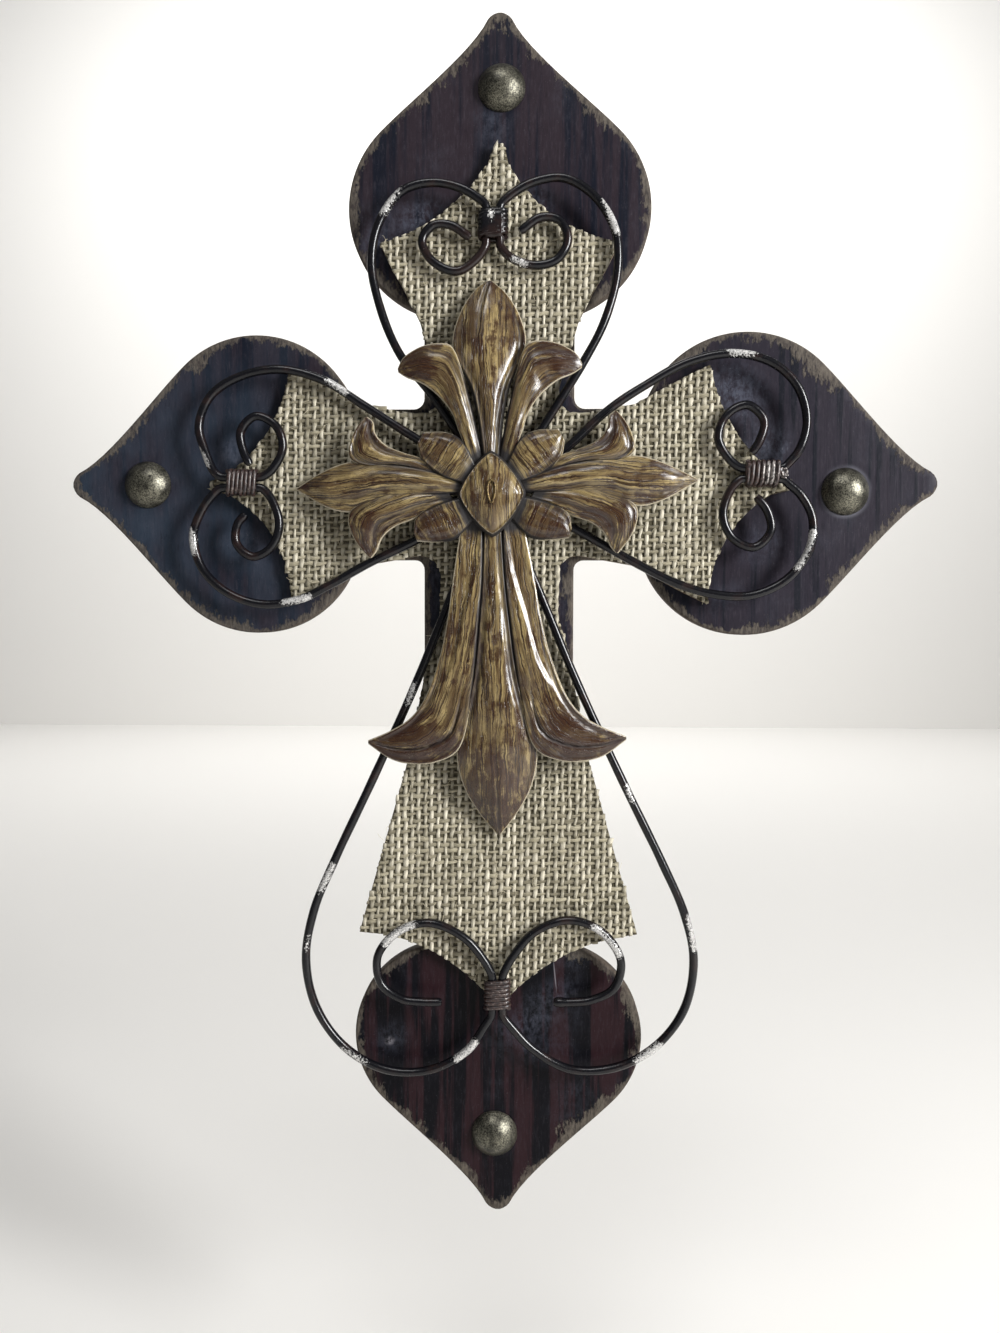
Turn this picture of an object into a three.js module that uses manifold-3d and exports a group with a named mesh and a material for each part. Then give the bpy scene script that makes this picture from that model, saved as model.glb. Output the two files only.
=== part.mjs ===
// Wall cross: a painted board with four spade-shaped ends, a burlap-faced panel on it,
// eight scrolled wires with wound collars, a cast leaf ornament pinned at the crossing,
// four domed nails, and a sawtooth hanger on the back.
// Millimetres, +Z up, the front faces -Y. The origin is where the wall's nail bears in
// the hanger, so the wall is the plane y = 0 and everything lies in front of it.
import * as THREE from 'three';
import { mergeVertices } from 'three/addons/utils/BufferGeometryUtils.js';
import Module from 'manifold-3d';

const wasm = await Module();
wasm.setup();

// Driving dimensions
const deg = THREE.MathUtils.degToRad;
const HANG_HEIGHT = 118;        // the hanger's bearing point above the crossing
const GAP = 0.3;                // clearance between pieces that touch
const REACH = { right: 162.4, top: 172.2, left: 161.2, bottom: 277.8 };
const BOARD = { neck: 28, thick: 6.5, corner: 4 };
const WIDE_LOBE = { radius: 39.8, across: 16.3, back: 70.7 };
const LOBE = {
  right: WIDE_LOBE,
  top: WIDE_LOBE,
  left: { radius: 38.8, across: 16.9, back: 70 },
  bottom: { radius: 35.3, across: 19.4, back: 68.3 },
};
const PANEL = { thick: 2.4, cloth: 0.8, neck: 21.5, bar: 25.9, drop: 0.8, corner: 8, blunt: 1.6 };
const WIRE = { radius: 1.6, wound: 1.4, turn: deg(31) };
const NAIL = { radius: 8.75, height: 5.6, shank: 1.1, depth: 5 };
const PIN = { radius: 1.4, wire: 0.6, eyeWide: 1.4, eyeTall: 3.2, leg: 9 };
const HANGER = { length: 44, height: 10, thick: 0.9, standoff: 3, flat: 9, teeth: 7, notch: 1.6 };
const ORNAMENT = { x: -2.2, z: -5.5, turn: deg(1.2), sheet: 1.2 };

// Depths from the wall, each layer in front of the last
const boardBack = -HANGER.standoff;
const boardFront = boardBack - BOARD.thick;
const panelBack = boardFront - GAP;
const clothBack = panelBack - PANEL.thick - GAP;
const clothFront = clothBack - PANEL.cloth;
const wireDepth = clothFront - GAP - WIRE.wound - WIRE.radius;
const ornamentBack = wireDepth - WIRE.radius - GAP;

// Finishes
const finish = (color, roughness, metalness) =>
  new THREE.MeshStandardMaterial({ color, roughness, metalness });
const paintedBoard = finish(0x2e2629, 0.5, 0);
const fibreboard = finish(0x4c4038, 0.85, 0);
const burlap = finish(0xa89c80, 0.95, 0);
const blackWire = finish(0x2a2526, 0.4, 0.6);
const grainedPaint = finish(0x8a744a, 0.35, 0.1);
const agedBrass = finish(0x6d6347, 0.4, 0.9);
const plainSteel = finish(0x9a9a96, 0.45, 0.9);

// The value at u, from 0 to 1, along evenly spaced values
function along(values, u) {
  const t = u * (values.length - 1);
  const i = Math.max(0, Math.min(Math.floor(t), values.length - 2));
  return values[i] + (values[i + 1] - values[i]) * (t - i);
}

// Solids: joining and cutting
function solid(geometry) {
  const bare = geometry.clone();
  bare.deleteAttribute('normal');
  bare.deleteAttribute('uv');
  const merged = mergeVertices(bare, 1e-4);
  return new wasm.Manifold(new wasm.Mesh({
    numProp: 3,
    vertProperties: new Float32Array(merged.attributes.position.array),
    triVerts: new Uint32Array(merged.index.array),
  }));
}

function geometryOf(manifold) {
  const mesh = manifold.getMesh();
  const geometry = new THREE.BufferGeometry();
  geometry.setAttribute('position', new THREE.BufferAttribute(mesh.vertProperties, 3));
  geometry.setIndex(new THREE.BufferAttribute(mesh.triVerts, 1));
  geometry.computeVertexNormals();
  return geometry;
}

const join = (list) => geometryOf(list.map(solid).reduce((a, b) => a.add(b)));
const cut = (body, tools) =>
  geometryOf(tools.map(solid).reduce((a, b) => a.subtract(b), solid(body)));

// A plate drawn as seen from the front, its back at the given depth
function plate(outline, back, thick) {
  const flat = new THREE.ExtrudeGeometry(outline, { depth: thick, bevelEnabled: false });
  return flat.rotateX(Math.PI / 2).translate(0, back, 0);
}

// A round rod square to the wall, from one depth forward to another
function rod(x, z, radius, back, front, sides = 14) {
  const turned = new THREE.CylinderGeometry(radius, radius, back - front, sides);
  return turned.translate(x, (back + front) / 2, z);
}

// The four arms, in the order in which an outline runs round the cross. An arm's own
// frame has d outward from the crossing and w across, from its first side to its second.
const ARMS = [
  { name: 'right', out: [1, 0], across: [0, -1] },
  { name: 'top', out: [0, 1], across: [1, 0] },
  { name: 'left', out: [-1, 0], across: [0, 1] },
  { name: 'bottom', out: [0, -1], across: [-1, 0] },
];
const placed = (arm, [w, d]) => new THREE.Vector2(
  arm.across[0] * w + arm.out[0] * d,
  arm.across[1] * w + arm.out[1] * d,
);

function arc(w, d, radius, from, to, steps) {
  const at = (i) => from + (to - from) * i / steps;
  return Array.from({ length: steps + 1 }, (_, i) =>
    [w + radius * Math.cos(at(i)), d + radius * Math.sin(at(i))]);
}

// Each arm starts with the rounded corner before it, then its first side out to the tip,
// and the second side comes back; it mirrors the first unless it has its own shape
function crossOutline(sideOf) {
  const points = ARMS.flatMap((arm) => {
    const { corner, side, second = side } = sideOf(arm.name);
    const back = second.map(([w, d]) => [-w, d]).reverse();
    return [...corner, ...side, ...back].map((point) => placed(arm, point));
  });
  return new THREE.Shape(points);
}

// The board's arm: a straight neck, a round lobe, and an ogee to a blunt point
function boardSide(name) {
  const { neck, corner } = BOARD;
  const { radius, across, back } = LOBE[name];
  const tip = REACH[name];
  const foot = Math.acos((neck - across) / radius);
  const rounded = arc(neck + corner, neck + corner, corner, deg(-90), deg(-180), 3);
  const lobe = arc(across, tip - back, radius, -foot, deg(45), 10);
  const [shoulderW, shoulderD] = lobe.at(-1);
  const ogee = new THREE.CubicBezierCurve(
    new THREE.Vector2(shoulderW, shoulderD),
    new THREE.Vector2(shoulderW - 11.4, shoulderD + 11.4),
    new THREE.Vector2(10, tip - 13.7),
    new THREE.Vector2(4.6, tip - 2.5),
  ).getPoints(4).slice(1).map((p) => [p.x, p.y]);
  return { corner: rounded, side: [...lobe, ...ogee, [2.6, tip - 0.7], [0.8, tip]] };
}

// The panel's arm: a flare from the neck to a corner, then a hollow cut to the middle
const FLARE = {
  top: { points: [[25.6, 47], [29.3, 60], [34.3, 70], [39.8, 80], [44, 88.3]], tip: 124 },
  side: { points: [[29.6, 50], [34.5, 59], [39.5, 68.5], [43.8, 77.5]], tip: 107.8 },
  bottom: {
    points: [[22, 49], [25.5, 59], [28.3, 74], [34.3, 104], [45.6, 144], [52.4, 168]],
    tip: 197,
  },
};
// Radii of the hollow cuts on each arm's first and second side, which differ as cut by hand
const HOLLOW = { right: [46, 62], top: [55, 68], left: [56, 45], bottom: [64, 76] };
function hollowCut([w, d], tip, radius, steps) {
  const chord = Math.hypot(w, tip - d);
  const rise = Math.sqrt(radius ** 2 - (chord / 2) ** 2);
  const centreW = w / 2 + rise * (tip - d) / chord;
  const centreD = (d + tip) / 2 + rise * w / chord;
  const from = Math.atan2(d - centreD, w - centreW);
  const to = Math.atan2(tip - centreD, -centreW);
  const turn = to > from ? to - 2 * Math.PI : to;
  return arc(centreW, centreD, radius, from, turn, steps).slice(1, -1);
}
function panelSide(name) {
  const upright = name === 'top' || name === 'bottom';
  const { points, tip } = FLARE[upright ? name : 'side'];
  const neck = upright ? PANEL.neck : PANEL.bar;
  const start = upright ? PANEL.bar : PANEL.neck;
  const r = PANEL.corner;
  const corner = arc(neck + r, start + r, r, deg(-90), deg(-180), 4);
  const flare = new THREE.SplineCurve(
    [corner.at(-1), ...points].map(([w, d]) => new THREE.Vector2(w, d)),
  ).getPoints(points.length).slice(1).map((p) => [p.x, p.y]);
  const [side, second] = HOLLOW[name].map((radius) =>
    [...flare, ...hollowCut(points.at(-1), tip, radius, 7), [PANEL.blunt, tip]]);
  return { corner, side, second };
}

// The bore for the centre pin, through every layer
const pinBore = rod(ORNAMENT.x, ORNAMENT.z, PIN.radius + GAP, 1, -60, 10);

// Base board, bored for the pin, the domed nails and the hanger's nails
const NAILS = {
  nail_top: [0.7, 144.7],
  nail_left: [-132.4, -0.1],
  nail_right: [128.3, -2.9],
  nail_bottom: [-1.3, -247.5],
};
const hangerNailX = HANGER.length / 2 - 3.5;
const hangerNailZ = HANG_HEIGHT + HANGER.height / 2 - HANGER.notch;
function baseBoard() {
  const front = Object.values(NAILS).map(([x, z]) =>
    rod(x, z, NAIL.shank + GAP, boardFront + NAIL.depth + GAP, boardFront - 1, 8));
  const back = [-1, 1].map((s) =>
    rod(s * hangerNailX, hangerNailZ, 0.7 + GAP, 0, boardBack - 4 - GAP, 6));
  return cut(plate(crossOutline(boardSide), boardBack, BOARD.thick), [pinBore, ...front, ...back]);
}

// The burlap panel sits a little low on the board
const panelLayer = (back, thick) =>
  cut(plate(crossOutline(panelSide), back, thick).translate(0, 0, -PANEL.drop), [pinBore]);

// Scroll wires: the route of each, from under the ornament out to its curl's free end
const SCROLLS = {
  scroll_top_left: [
    [-9, 8.5], [-24.5, 31.5], [-36, 46], [-43, 62], [-46.5, 79.5], [-43.5, 94], [-35, 105],
    [-24.5, 107.8], [-14.5, 106], [-8, 102.5], [-4.9, 99.8], [-4.7, 98.6], [-4.7, 86.2],
    [-4.9, 85], [-8, 80.5], [-15.5, 76], [-24.5, 80], [-28, 87], [-24, 92.5],
    [-17.5, 92.5], [-10.5, 88]
  ],
  scroll_top_right: [
    [8, 7], [17, 21], [30.5, 42.5], [38.5, 58], [43, 75.5], [42, 90.5], [34.5, 102.5],
    [23.5, 109], [12, 107.5], [4, 103], [0.6, 99.8], [0.3, 98.6], [0.3, 86.2], [0.5, 85],
    [4, 81], [13, 78], [21, 80], [25, 87], [22, 94], [15, 95], [7.5, 90]
  ],
  scroll_left_upper: [
    [-13.5, 6.5], [-29, 15], [-49, 27.5], [-64.5, 37], [-80.5, 41], [-95, 38.5],
    [-106, 31.5], [-110.5, 20.5], [-108, 10.5], [-105.2, 4], [-102.9, 1.9], [-101.8, 1.7],
    [-88.2, 1.7], [-87.2, 1.9], [-83.5, 4.5], [-79.5, 12.5], [-82, 20.5], [-89.5, 24],
    [-95, 18.5], [-94, 11], [-91.7, 6.3]
  ],
  scroll_left_lower: [
    [-15.5, -13], [-30.5, -21.5], [-49, -30.5], [-62.5, -38], [-74.5, -43.5], [-88, -45],
    [-101, -40.5], [-110, -31.5], [-113, -19.5], [-109.5, -10], [-105.2, -4.4],
    [-102.9, -2.4], [-101.8, -2.2], [-88.2, -2.2], [-87.2, -2.4], [-84, -6], [-81, -15.5],
    [-84, -24], [-91, -27.5], [-97, -22.5], [-96.5, -15.5], [-93.5, -12]
  ],
  scroll_right_upper: [
    [14, 3], [26.5, 13.5], [39.5, 25.5], [53, 34.5], [69, 43], [85.5, 46], [99.5, 42.5],
    [108.5, 34], [112, 21.5], [109.5, 11.5], [106, 7], [103.9, 4.9], [102.8, 4.7],
    [89.2, 4.7], [88.1, 4.9], [84.5, 7.5], [80, 15.5], [83, 24], [90.5, 27.5], [96.5, 22],
    [95, 14.5], [92, 10]
  ],
  scroll_right_lower: [
    [13, -10], [26.5, -16.5], [49, -29], [65, -37], [78.5, -41], [92.5, -41.5], [105, -36],
    [113.5, -25], [114.5, -13.5], [110.2, -5], [106, -1.2], [103.9, 0.6], [102.8, 0.8],
    [89.2, 0.8], [88.1, 0.6], [85, -2.6], [82, -12], [85.5, -20.5], [93.5, -24],
    [99.5, -18], [98, -10.5], [94, -5.5]
  ],
  scroll_bottom_left: [
    [-8, -19.5], [-16.5, -40], [-31, -75.5], [-47, -111], [-60.5, -139.5], [-69, -160],
    [-72, -178.5], [-68, -197], [-57, -212], [-42, -220], [-25.5, -220], [-11.5, -212.5],
    [-4.8, -203], [-2.3, -199], [-2, -197.8], [-2, -184.2], [-2.3, -183], [-5, -178],
    [-12.5, -169.5], [-25.5, -164], [-37.5, -167.5], [-45, -177], [-43.5, -187.5],
    [-36, -193], [-28.5, -194], [-21, -194]
  ],
  scroll_bottom_right: [
    [6, -19.5], [15, -40], [29.5, -74.5], [47.5, -113], [61, -140.5], [69.5, -160],
    [73, -177.5], [69.5, -196], [59, -210], [44.5, -218], [27.5, -219], [14, -212],
    [5.2, -203], [2.2, -199], [1.9, -197.8], [1.9, -184.2], [2.2, -183], [6, -176],
    [14, -167], [26.5, -162.5], [38.5, -166.5], [46, -177.5], [43.5, -188], [35.5, -192.5],
    [28, -193.5], [21, -193.5]
  ],
};
// A smooth run through the route's points, with a station at each and more where it bends
class WireRun extends THREE.Curve {
  constructor(points) {
    super();
    this.line = new THREE.CatmullRomCurve3(points, false, 'centripetal');
    this.stations = [0];
    const spans = points.length - 1;
    for (let i = 0; i < spans; i += 1) {
      const [from, to] = [i, i + 1].map((k) => this.line.getTangent(k / spans));
      const steps = Math.max(1, Math.round(from.angleTo(to) / WIRE.turn));
      for (let k = 1; k <= steps; k += 1) this.stations.push((i + k / steps) / spans);
    }
  }

  getPoint(t, target) {
    return this.line.getPoint(along(this.stations, t), target);
  }

  getUtoTmapping(u) {
    return u;
  }
}
function scrollWire(route) {
  const path = new WireRun(route.map(([x, z]) => new THREE.Vector3(x, wireDepth, z)));
  const section = new THREE.Shape(arc(0, 0, WIRE.radius, 0, 2 * Math.PI, 6)
    .slice(0, -1).map(([x, y]) => new THREE.Vector2(x, y)));
  const steps = path.stations.length - 1;
  return new THREE.ExtrudeGeometry(section, { steps, extrudePath: path, bevelEnabled: false });
}

// Collars: a sleeve of wound wire round the two wires of a pair
const COLLARS = {
  collar_top: { at: [-2.2, 92.4], length: 11.4, spread: 2.5, turn: 0, turns: 6 },
  collar_left: { at: [-95, -0.25], length: 13, spread: 1.95, turn: Math.PI / 2, turns: 6 },
  collar_right: { at: [96, 2.75], length: 13, spread: 1.95, turn: Math.PI / 2, turns: 6 },
  collar_bottom: { at: [-0.05, -191], length: 13, spread: 1.95, turn: 0, turns: 6 },
};
function collar({ at, length, spread, turn, turns }) {
  const bore = WIRE.radius + GAP * 1.5;
  const outer = WIRE.radius + WIRE.wound;
  const profile = [[bore, length / 2], [bore, -length / 2]];
  for (let i = 0; i <= turns * 2; i += 1) {
    const crest = i % 2 === 1 ? outer : outer - 0.5;
    profile.push([crest, -length / 2 + length * i / (turns * 2)]);
  }
  profile.push([bore, length / 2]);
  const ring = new THREE.LatheGeometry(profile.map(([x, y]) => new THREE.Vector2(x, y)), 8, deg(22.5));
  const position = ring.attributes.position;
  for (let i = 0; i < position.count; i += 1) {
    const x = position.getX(i);
    position.setX(i, x + Math.sign(x) * spread);
  }
  return ring.rotateX(Math.PI / 2).rotateY(turn).translate(at[0], wireDepth, at[1]);
}

// A domed nail: a low dome on a thin rim, and its shank in the board
function domedNail([x, z]) {
  const { radius, height, shank, depth } = NAIL;
  const dome = Array.from({ length: 4 }, (_, i) => {
    const a = Math.PI / 2 * (1 - i / 4);
    return new THREE.Vector2(radius * Math.cos(a), 0.7 + (height - 0.7) * Math.sin(a));
  });
  const profile = [new THREE.Vector2(0, -depth), new THREE.Vector2(shank, -depth),
    new THREE.Vector2(shank, 0), new THREE.Vector2(radius, 0), new THREE.Vector2(radius, 0.7),
    ...dome.reverse()];
  profile.at(-1).x = 0;
  const turned = new THREE.LatheGeometry(profile, 14);
  return turned.rotateX(Math.PI).translate(x, boardFront - GAP, z);
}

// Ornament leaves. Each runs from its root to its tip between two edges, and swells
// from the rims up to a crest. Heights are in front of the board.
const spline = (points) => new THREE.CatmullRomCurve3(
  points.map(([x, z]) => new THREE.Vector3(x, 0, z)), false, 'centripetal');
const LEAVES = {
  topSpear: {
    first: [[-3, 10], [-4.9, 28], [-7, 38], [-13.3, 54], [-9, 67.5], [-0.7, 76.2]],
    second: [[3, 10], [4.9, 28], [7, 38], [13.3, 54], [9, 67.5], [0.7, 76.2]],
    crest: [16.5, 16, 15, 14, 11, 7],
    rims: [[13.5, 12.5, 11.5, 9.5, 7, 6], [13.5, 12.5, 11.5, 9.5, 7, 6]],
    steps: [8, 4],
  },
  topLeaf: {
    first: [[2, 12], [4, 20.3], [7.4, 34.8], [12.2, 51.2], [14.5, 54], [20.3, 54.4], [26.2, 53],
      [31.5, 49.8], [33.4, 46.5]],
    second: [[7, 10], [11.3, 22.2], [14, 29.5], [18.8, 35.8], [24.2, 40.2], [30, 42.8],
      [33.2, 45]],
    crest: [15, 15, 14.8, 14.2, 13.6, 10.8],
    rims: [[13, 12, 11.2, 10.8, 10.6, 10.4], [12.5, 11.5, 10.8, 10.6, 10.4, 10.3]],
    steps: [8, 4],
  },
  smallUpper: {
    first: [[4, 9], [10.5, 19.8], [16.3, 22.6], [24, 22.9]],
    second: [[8, 3], [18.2, 6.7], [25.2, 13], [26.6, 18.5]],
    crest: [15.5, 15.6, 14.4, 11],
    rims: [[13, 11.4, 10.8, 10.4], [13, 11.4, 10.8, 10.4]],
    steps: [4, 4],
  },
  sideSpear: {
    first: [[9, 5], [26.6, 10.6], [41, 12.5], [52, 13], [61.5, 10.1], [71.9, 4.7]],
    second: [[9, 0.5], [29, -0.5], [40.2, -1], [51, -5], [59, -3.7], [71.9, 3.7]],
    crest: [16.5, 15.6, 14.8, 13.4, 11.4, 6.6],
    rims: [[13.5, 12.4, 11.4, 9.6, 7.4, 6], [13.5, 12.4, 11.4, 9.6, 7.4, 6]],
    steps: [7, 4],
  },
  sideUpper: {
    first: [[18, 6.5], [34, 11], [47, 11.5], [51.6, 14.5], [51.1, 20.3], [48.5, 25.9], [45.9, 29.2]],
    second: [[17, 9.6], [25.2, 13.7], [32, 15.9], [38.2, 18.8], [41.9, 23.2], [42.6, 27.4], [44.7, 29.4]],
    crest: [13.6, 13.8, 13.8, 13, 10.8],
    rims: [[13, 12.4, 11.6, 10.8, 10.4], [12, 11.2, 10.6, 10.4, 10.3]],
    steps: [7, 4],
  },
  sideLower: {
    first: [[16, 2], [30, 2.5], [44, -0.5], [51.8, -4.9], [52.5, -8.8], [50.3, -15.5], [45.4, -21.9]],
    second: [[14, -2], [21.5, -4.2], [28.6, -8.2], [35.3, -10.7], [40.1, -14.6], [42.6, -19.6],
      [44.4, -21.7]],
    crest: [14, 14.2, 14, 13, 10.8],
    rims: [[13.2, 12.6, 11.6, 10.8, 10.4], [12, 11.2, 10.6, 10.4, 10.3]],
    steps: [7, 4],
  },
  smallLower: {
    first: [[9, 0], [19.7, -2.9], [27.6, -7.6], [28.6, -12.5]],
    second: [[6, -9], [13.5, -15.8], [20.2, -16.8], [27.4, -16.3]],
    crest: [15.5, 15.6, 14.4, 11],
    rims: [[13, 11.4, 10.8, 10.4], [13, 11.4, 10.8, 10.4]],
    steps: [4, 4],
  },
  lowSpear: {
    first: [[-3.6, -9], [-4.6, -30], [-5.9, -44.6], [-8, -64], [-11.1, -78.5], [-14.8, -94.5],
      [-12.3, -107], [-7, -116.8], [-0.8, -125]],
    second: [[3.6, -9], [4.6, -30], [5.9, -44.6], [8, -64], [11.1, -78.5], [14.8, -94.5],
      [12.3, -107], [7, -116.8], [0.8, -125]],
    crest: [17, 16.8, 16.5, 16, 15.4, 14.6, 12.6, 7],
    rims: [[14, 13.2, 12.2, 11, 9.6, 8, 6.4, 5.8], [14, 13.2, 12.2, 11, 9.6, 8, 6.4, 5.8]],
    steps: [9, 4],
  },
  lowLeaf: {
    first: [[3, -9], [3.6, -30], [5.1, -44.6], [8.9, -73.6], [14.2, -92.5], [22.8, -96.9],
      [31, -97.4], [38.7, -95.7], [47.4, -90]],
    second: [[11, -9], [14.2, -27.2], [17, -44.6], [20.1, -58.2], [26.1, -73.7], [31.5, -80.5],
      [38.8, -85], [47.4, -88.6]],
    crest: [15.5, 15.4, 15, 14.6, 14.2, 13.8, 10.8],
    rims: [[13.4, 12.6, 12, 11.2, 10.6, 10.4, 10.3], [12.6, 11.6, 11, 10.6, 10.4, 10.4, 10.3]],
    steps: [10, 4],
  },
};
function leafShell({ first, second, crest, rims, steps }, mirror = 1) {
  const edges = [spline(first), spline(second)];
  const [nu, nv] = steps;
  const block = new THREE.BoxGeometry(1, 1, 1, nu, nv, 1);
  block.deleteAttribute('normal');
  block.deleteAttribute('uv');
  const leaf = mergeVertices(block, 1e-5);
  const position = leaf.attributes.position;
  for (let i = 0; i < position.count; i += 1) {
    const u = position.getX(i) + 0.5;
    const v = position.getY(i) + 0.5;
    const p = edges[0].getPointAt(u).lerp(edges[1].getPointAt(u), v);
    const rim = along(rims[0], u) * (1 - v) + along(rims[1], u) * v;
    const swell = 1 - Math.abs(2 * v - 1) ** 1.4;
    const height = rim + (along(crest, u) - rim) * swell;
    const inner = position.getZ(i) > 0 ? 0 : ORNAMENT.sheet;
    position.setXYZ(i, mirror * p.x, boardFront - height + inner, p.z);
  }
  return facingOut(leaf);
}
function facingOut(geometry) {
  if (solid(geometry).volume() > 0) return geometry;
  const turned = geometry.index.array;
  for (let i = 0; i < turned.length; i += 3) {
    [turned[i], turned[i + 1]] = [turned[i + 1], turned[i]];
  }
  return geometry;
}

// The boss: a cushioned diamond, thick to its back, where it bears on the wires
function boss() {
  const [half, up, down] = [12.3, 15.2, 15.8];
  const rimY = boardFront - 15;
  const layers = [[1, ornamentBack], [1, rimY], [0.72, rimY - 2.4], [0.36, rimY - 3.9]];
  const turned = new THREE.LatheGeometry(
    [[0, layers[0][1]], ...layers, [0, rimY - 4.4]].map(([r, y]) => new THREE.Vector2(r, -y)), 8);
  const position = turned.attributes.position;
  for (let i = 0; i < position.count; i += 1) {
    const [x, y, z] = [position.getX(i), position.getY(i), position.getZ(i)];
    const reach = Math.hypot(x, z);
    const square = reach / Math.max(Math.abs(x) + Math.abs(z), 1e-6);
    const round = reach > 0.9 ? 1 : 1 + 0.25 * (1 / Math.max(square, 0.7) - 1);
    position.setXYZ(i, x * square * round * half, -y, z * square * round * (z > 0 ? up : down));
  }
  return facingOut(turned);
}
function ornament() {
  const { topSpear, lowSpear, ...paired } = LEAVES;
  const leaves = [leafShell(topSpear), leafShell(lowSpear),
    ...Object.values(paired).flatMap((leaf) => [leafShell(leaf), leafShell(leaf, -1)])];
  const cast = join([boss(), ...leaves]).rotateY(-ORNAMENT.turn);
  return cut(cast.translate(ORNAMENT.x, 0, ORNAMENT.z), [pinBore]);
}

// The centre pin: its flattened eye on the boss, its shank through every layer, and its
// two legs spread on the board's back
function centrePin() {
  const top = boardFront - 15 - 4.4 - GAP;
  const eye = new THREE.TorusGeometry(1, PIN.wire, 5, 10);
  const position = eye.attributes.position;
  for (let i = 0; i < position.count; i += 1) {
    const [x, y, z] = [position.getX(i), position.getY(i), position.getZ(i)];
    const reach = Math.hypot(x, y);
    const grow = (k) => (k - 1) / reach + 1;
    position.setXYZ(i, x * grow(PIN.eyeWide), z, y * grow(PIN.eyeTall));
  }
  const eyeDepth = top - PIN.wire - 0.1;
  facingOut(eye).translate(ORNAMENT.x, eyeDepth, ORNAMENT.z);
  const shank = rod(ORNAMENT.x, ORNAMENT.z, PIN.radius, boardBack + GAP + 1, eyeDepth - 0.2, 10);
  const legs = new THREE.BoxGeometry(2.2, 1, PIN.leg * 2);
  legs.translate(ORNAMENT.x, boardBack + GAP + 0.5, ORNAMENT.z);
  return join([eye, shank, legs]);
}

// The sawtooth hanger: a strip with joggled ends and teeth along its lower edge
function hangerStrip() {
  const { length, height, thick, standoff, flat, teeth, notch } = HANGER;
  const half = length / 2;
  const foot = standoff - GAP;
  const side = [[-half, -foot], [-half, thick - foot], [flat - half - 1, thick - foot],
    [flat - half + 2, 0], [half - flat - 2, 0], [half - flat + 1, thick - foot],
    [half, thick - foot], [half, -foot], [half - flat, -foot], [half - flat - 3, -thick],
    [flat - half + 3, -thick], [flat - half, -foot]];
  const outline = new THREE.Shape(side.map(([x, y]) => new THREE.Vector2(x, y)));
  const strip = new THREE.ExtrudeGeometry(outline, { depth: height, bevelEnabled: false });
  const pitch = 2.4;
  const notches = Array.from({ length: teeth }, (_, i) => {
    const x = (i - (teeth - 1) / 2) * pitch;
    const vee = new THREE.Shape([
      new THREE.Vector2(x - pitch * 0.46, -1), new THREE.Vector2(x + pitch * 0.46, -1),
      new THREE.Vector2(x, notch)]);
    return plate(vee, 1, thick + 2);
  });
  const bores = [-1, 1].map((s) => rod(s * hangerNailX, height / 2, 1, 1, -foot - 1, 8));
  return cut(strip, [...notches, ...bores]).translate(0, 0, HANG_HEIGHT - notch);
}
function hangerNail(side) {
  const headBack = -HANGER.standoff + GAP + HANGER.thick + GAP;
  const profile = [[0, -(BOARD.thick - 1.2)], [0.7, -(BOARD.thick - 2)], [0.7, 0], [1.9, 0],
    [1.9, 0.5], [0, 0.8]];
  const turned = new THREE.LatheGeometry(profile.map(([x, y]) => new THREE.Vector2(x, y)), 10);
  return turned.translate(side * hangerNailX, headBack, hangerNailZ);
}

// The assembly
const cross = new THREE.Group();
cross.position.z = -HANG_HEIGHT;
function add(name, geometry, material) {
  const mesh = new THREE.Mesh(geometry, material);
  mesh.name = name;
  cross.add(mesh);
}
add('base_board', baseBoard(), paintedBoard);
add('burlap_backing', panelLayer(panelBack, PANEL.thick), fibreboard);
add('burlap_facing', panelLayer(clothBack, PANEL.cloth), burlap);
for (const [name, route] of Object.entries(SCROLLS)) add(name, scrollWire(route), blackWire);
for (const [name, place] of Object.entries(COLLARS)) add(name, collar(place), blackWire);
for (const [name, place] of Object.entries(NAILS)) add(name, domedNail(place), agedBrass);
add('leaf_ornament', ornament(), grainedPaint);
add('centre_pin', centrePin(), agedBrass);
add('sawtooth_hanger', hangerStrip(), plainSteel);
add('hanger_nail_left', hangerNail(-1), plainSteel);
add('hanger_nail_right', hangerNail(1), plainSteel);

const part = new THREE.Group();
part.add(cross);
export default part;
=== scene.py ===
"""A layered wall cross: painted board, burlap panel, scrolled wires with wound collars, a
leaf ornament on a pin, domed nails, and a sawtooth hanger on the back. It is dressed over
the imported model, in metres, +Z up, the front facing -Y."""
import math

import bpy
import numpy as np
from mathutils import Matrix, Vector, noise


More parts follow.
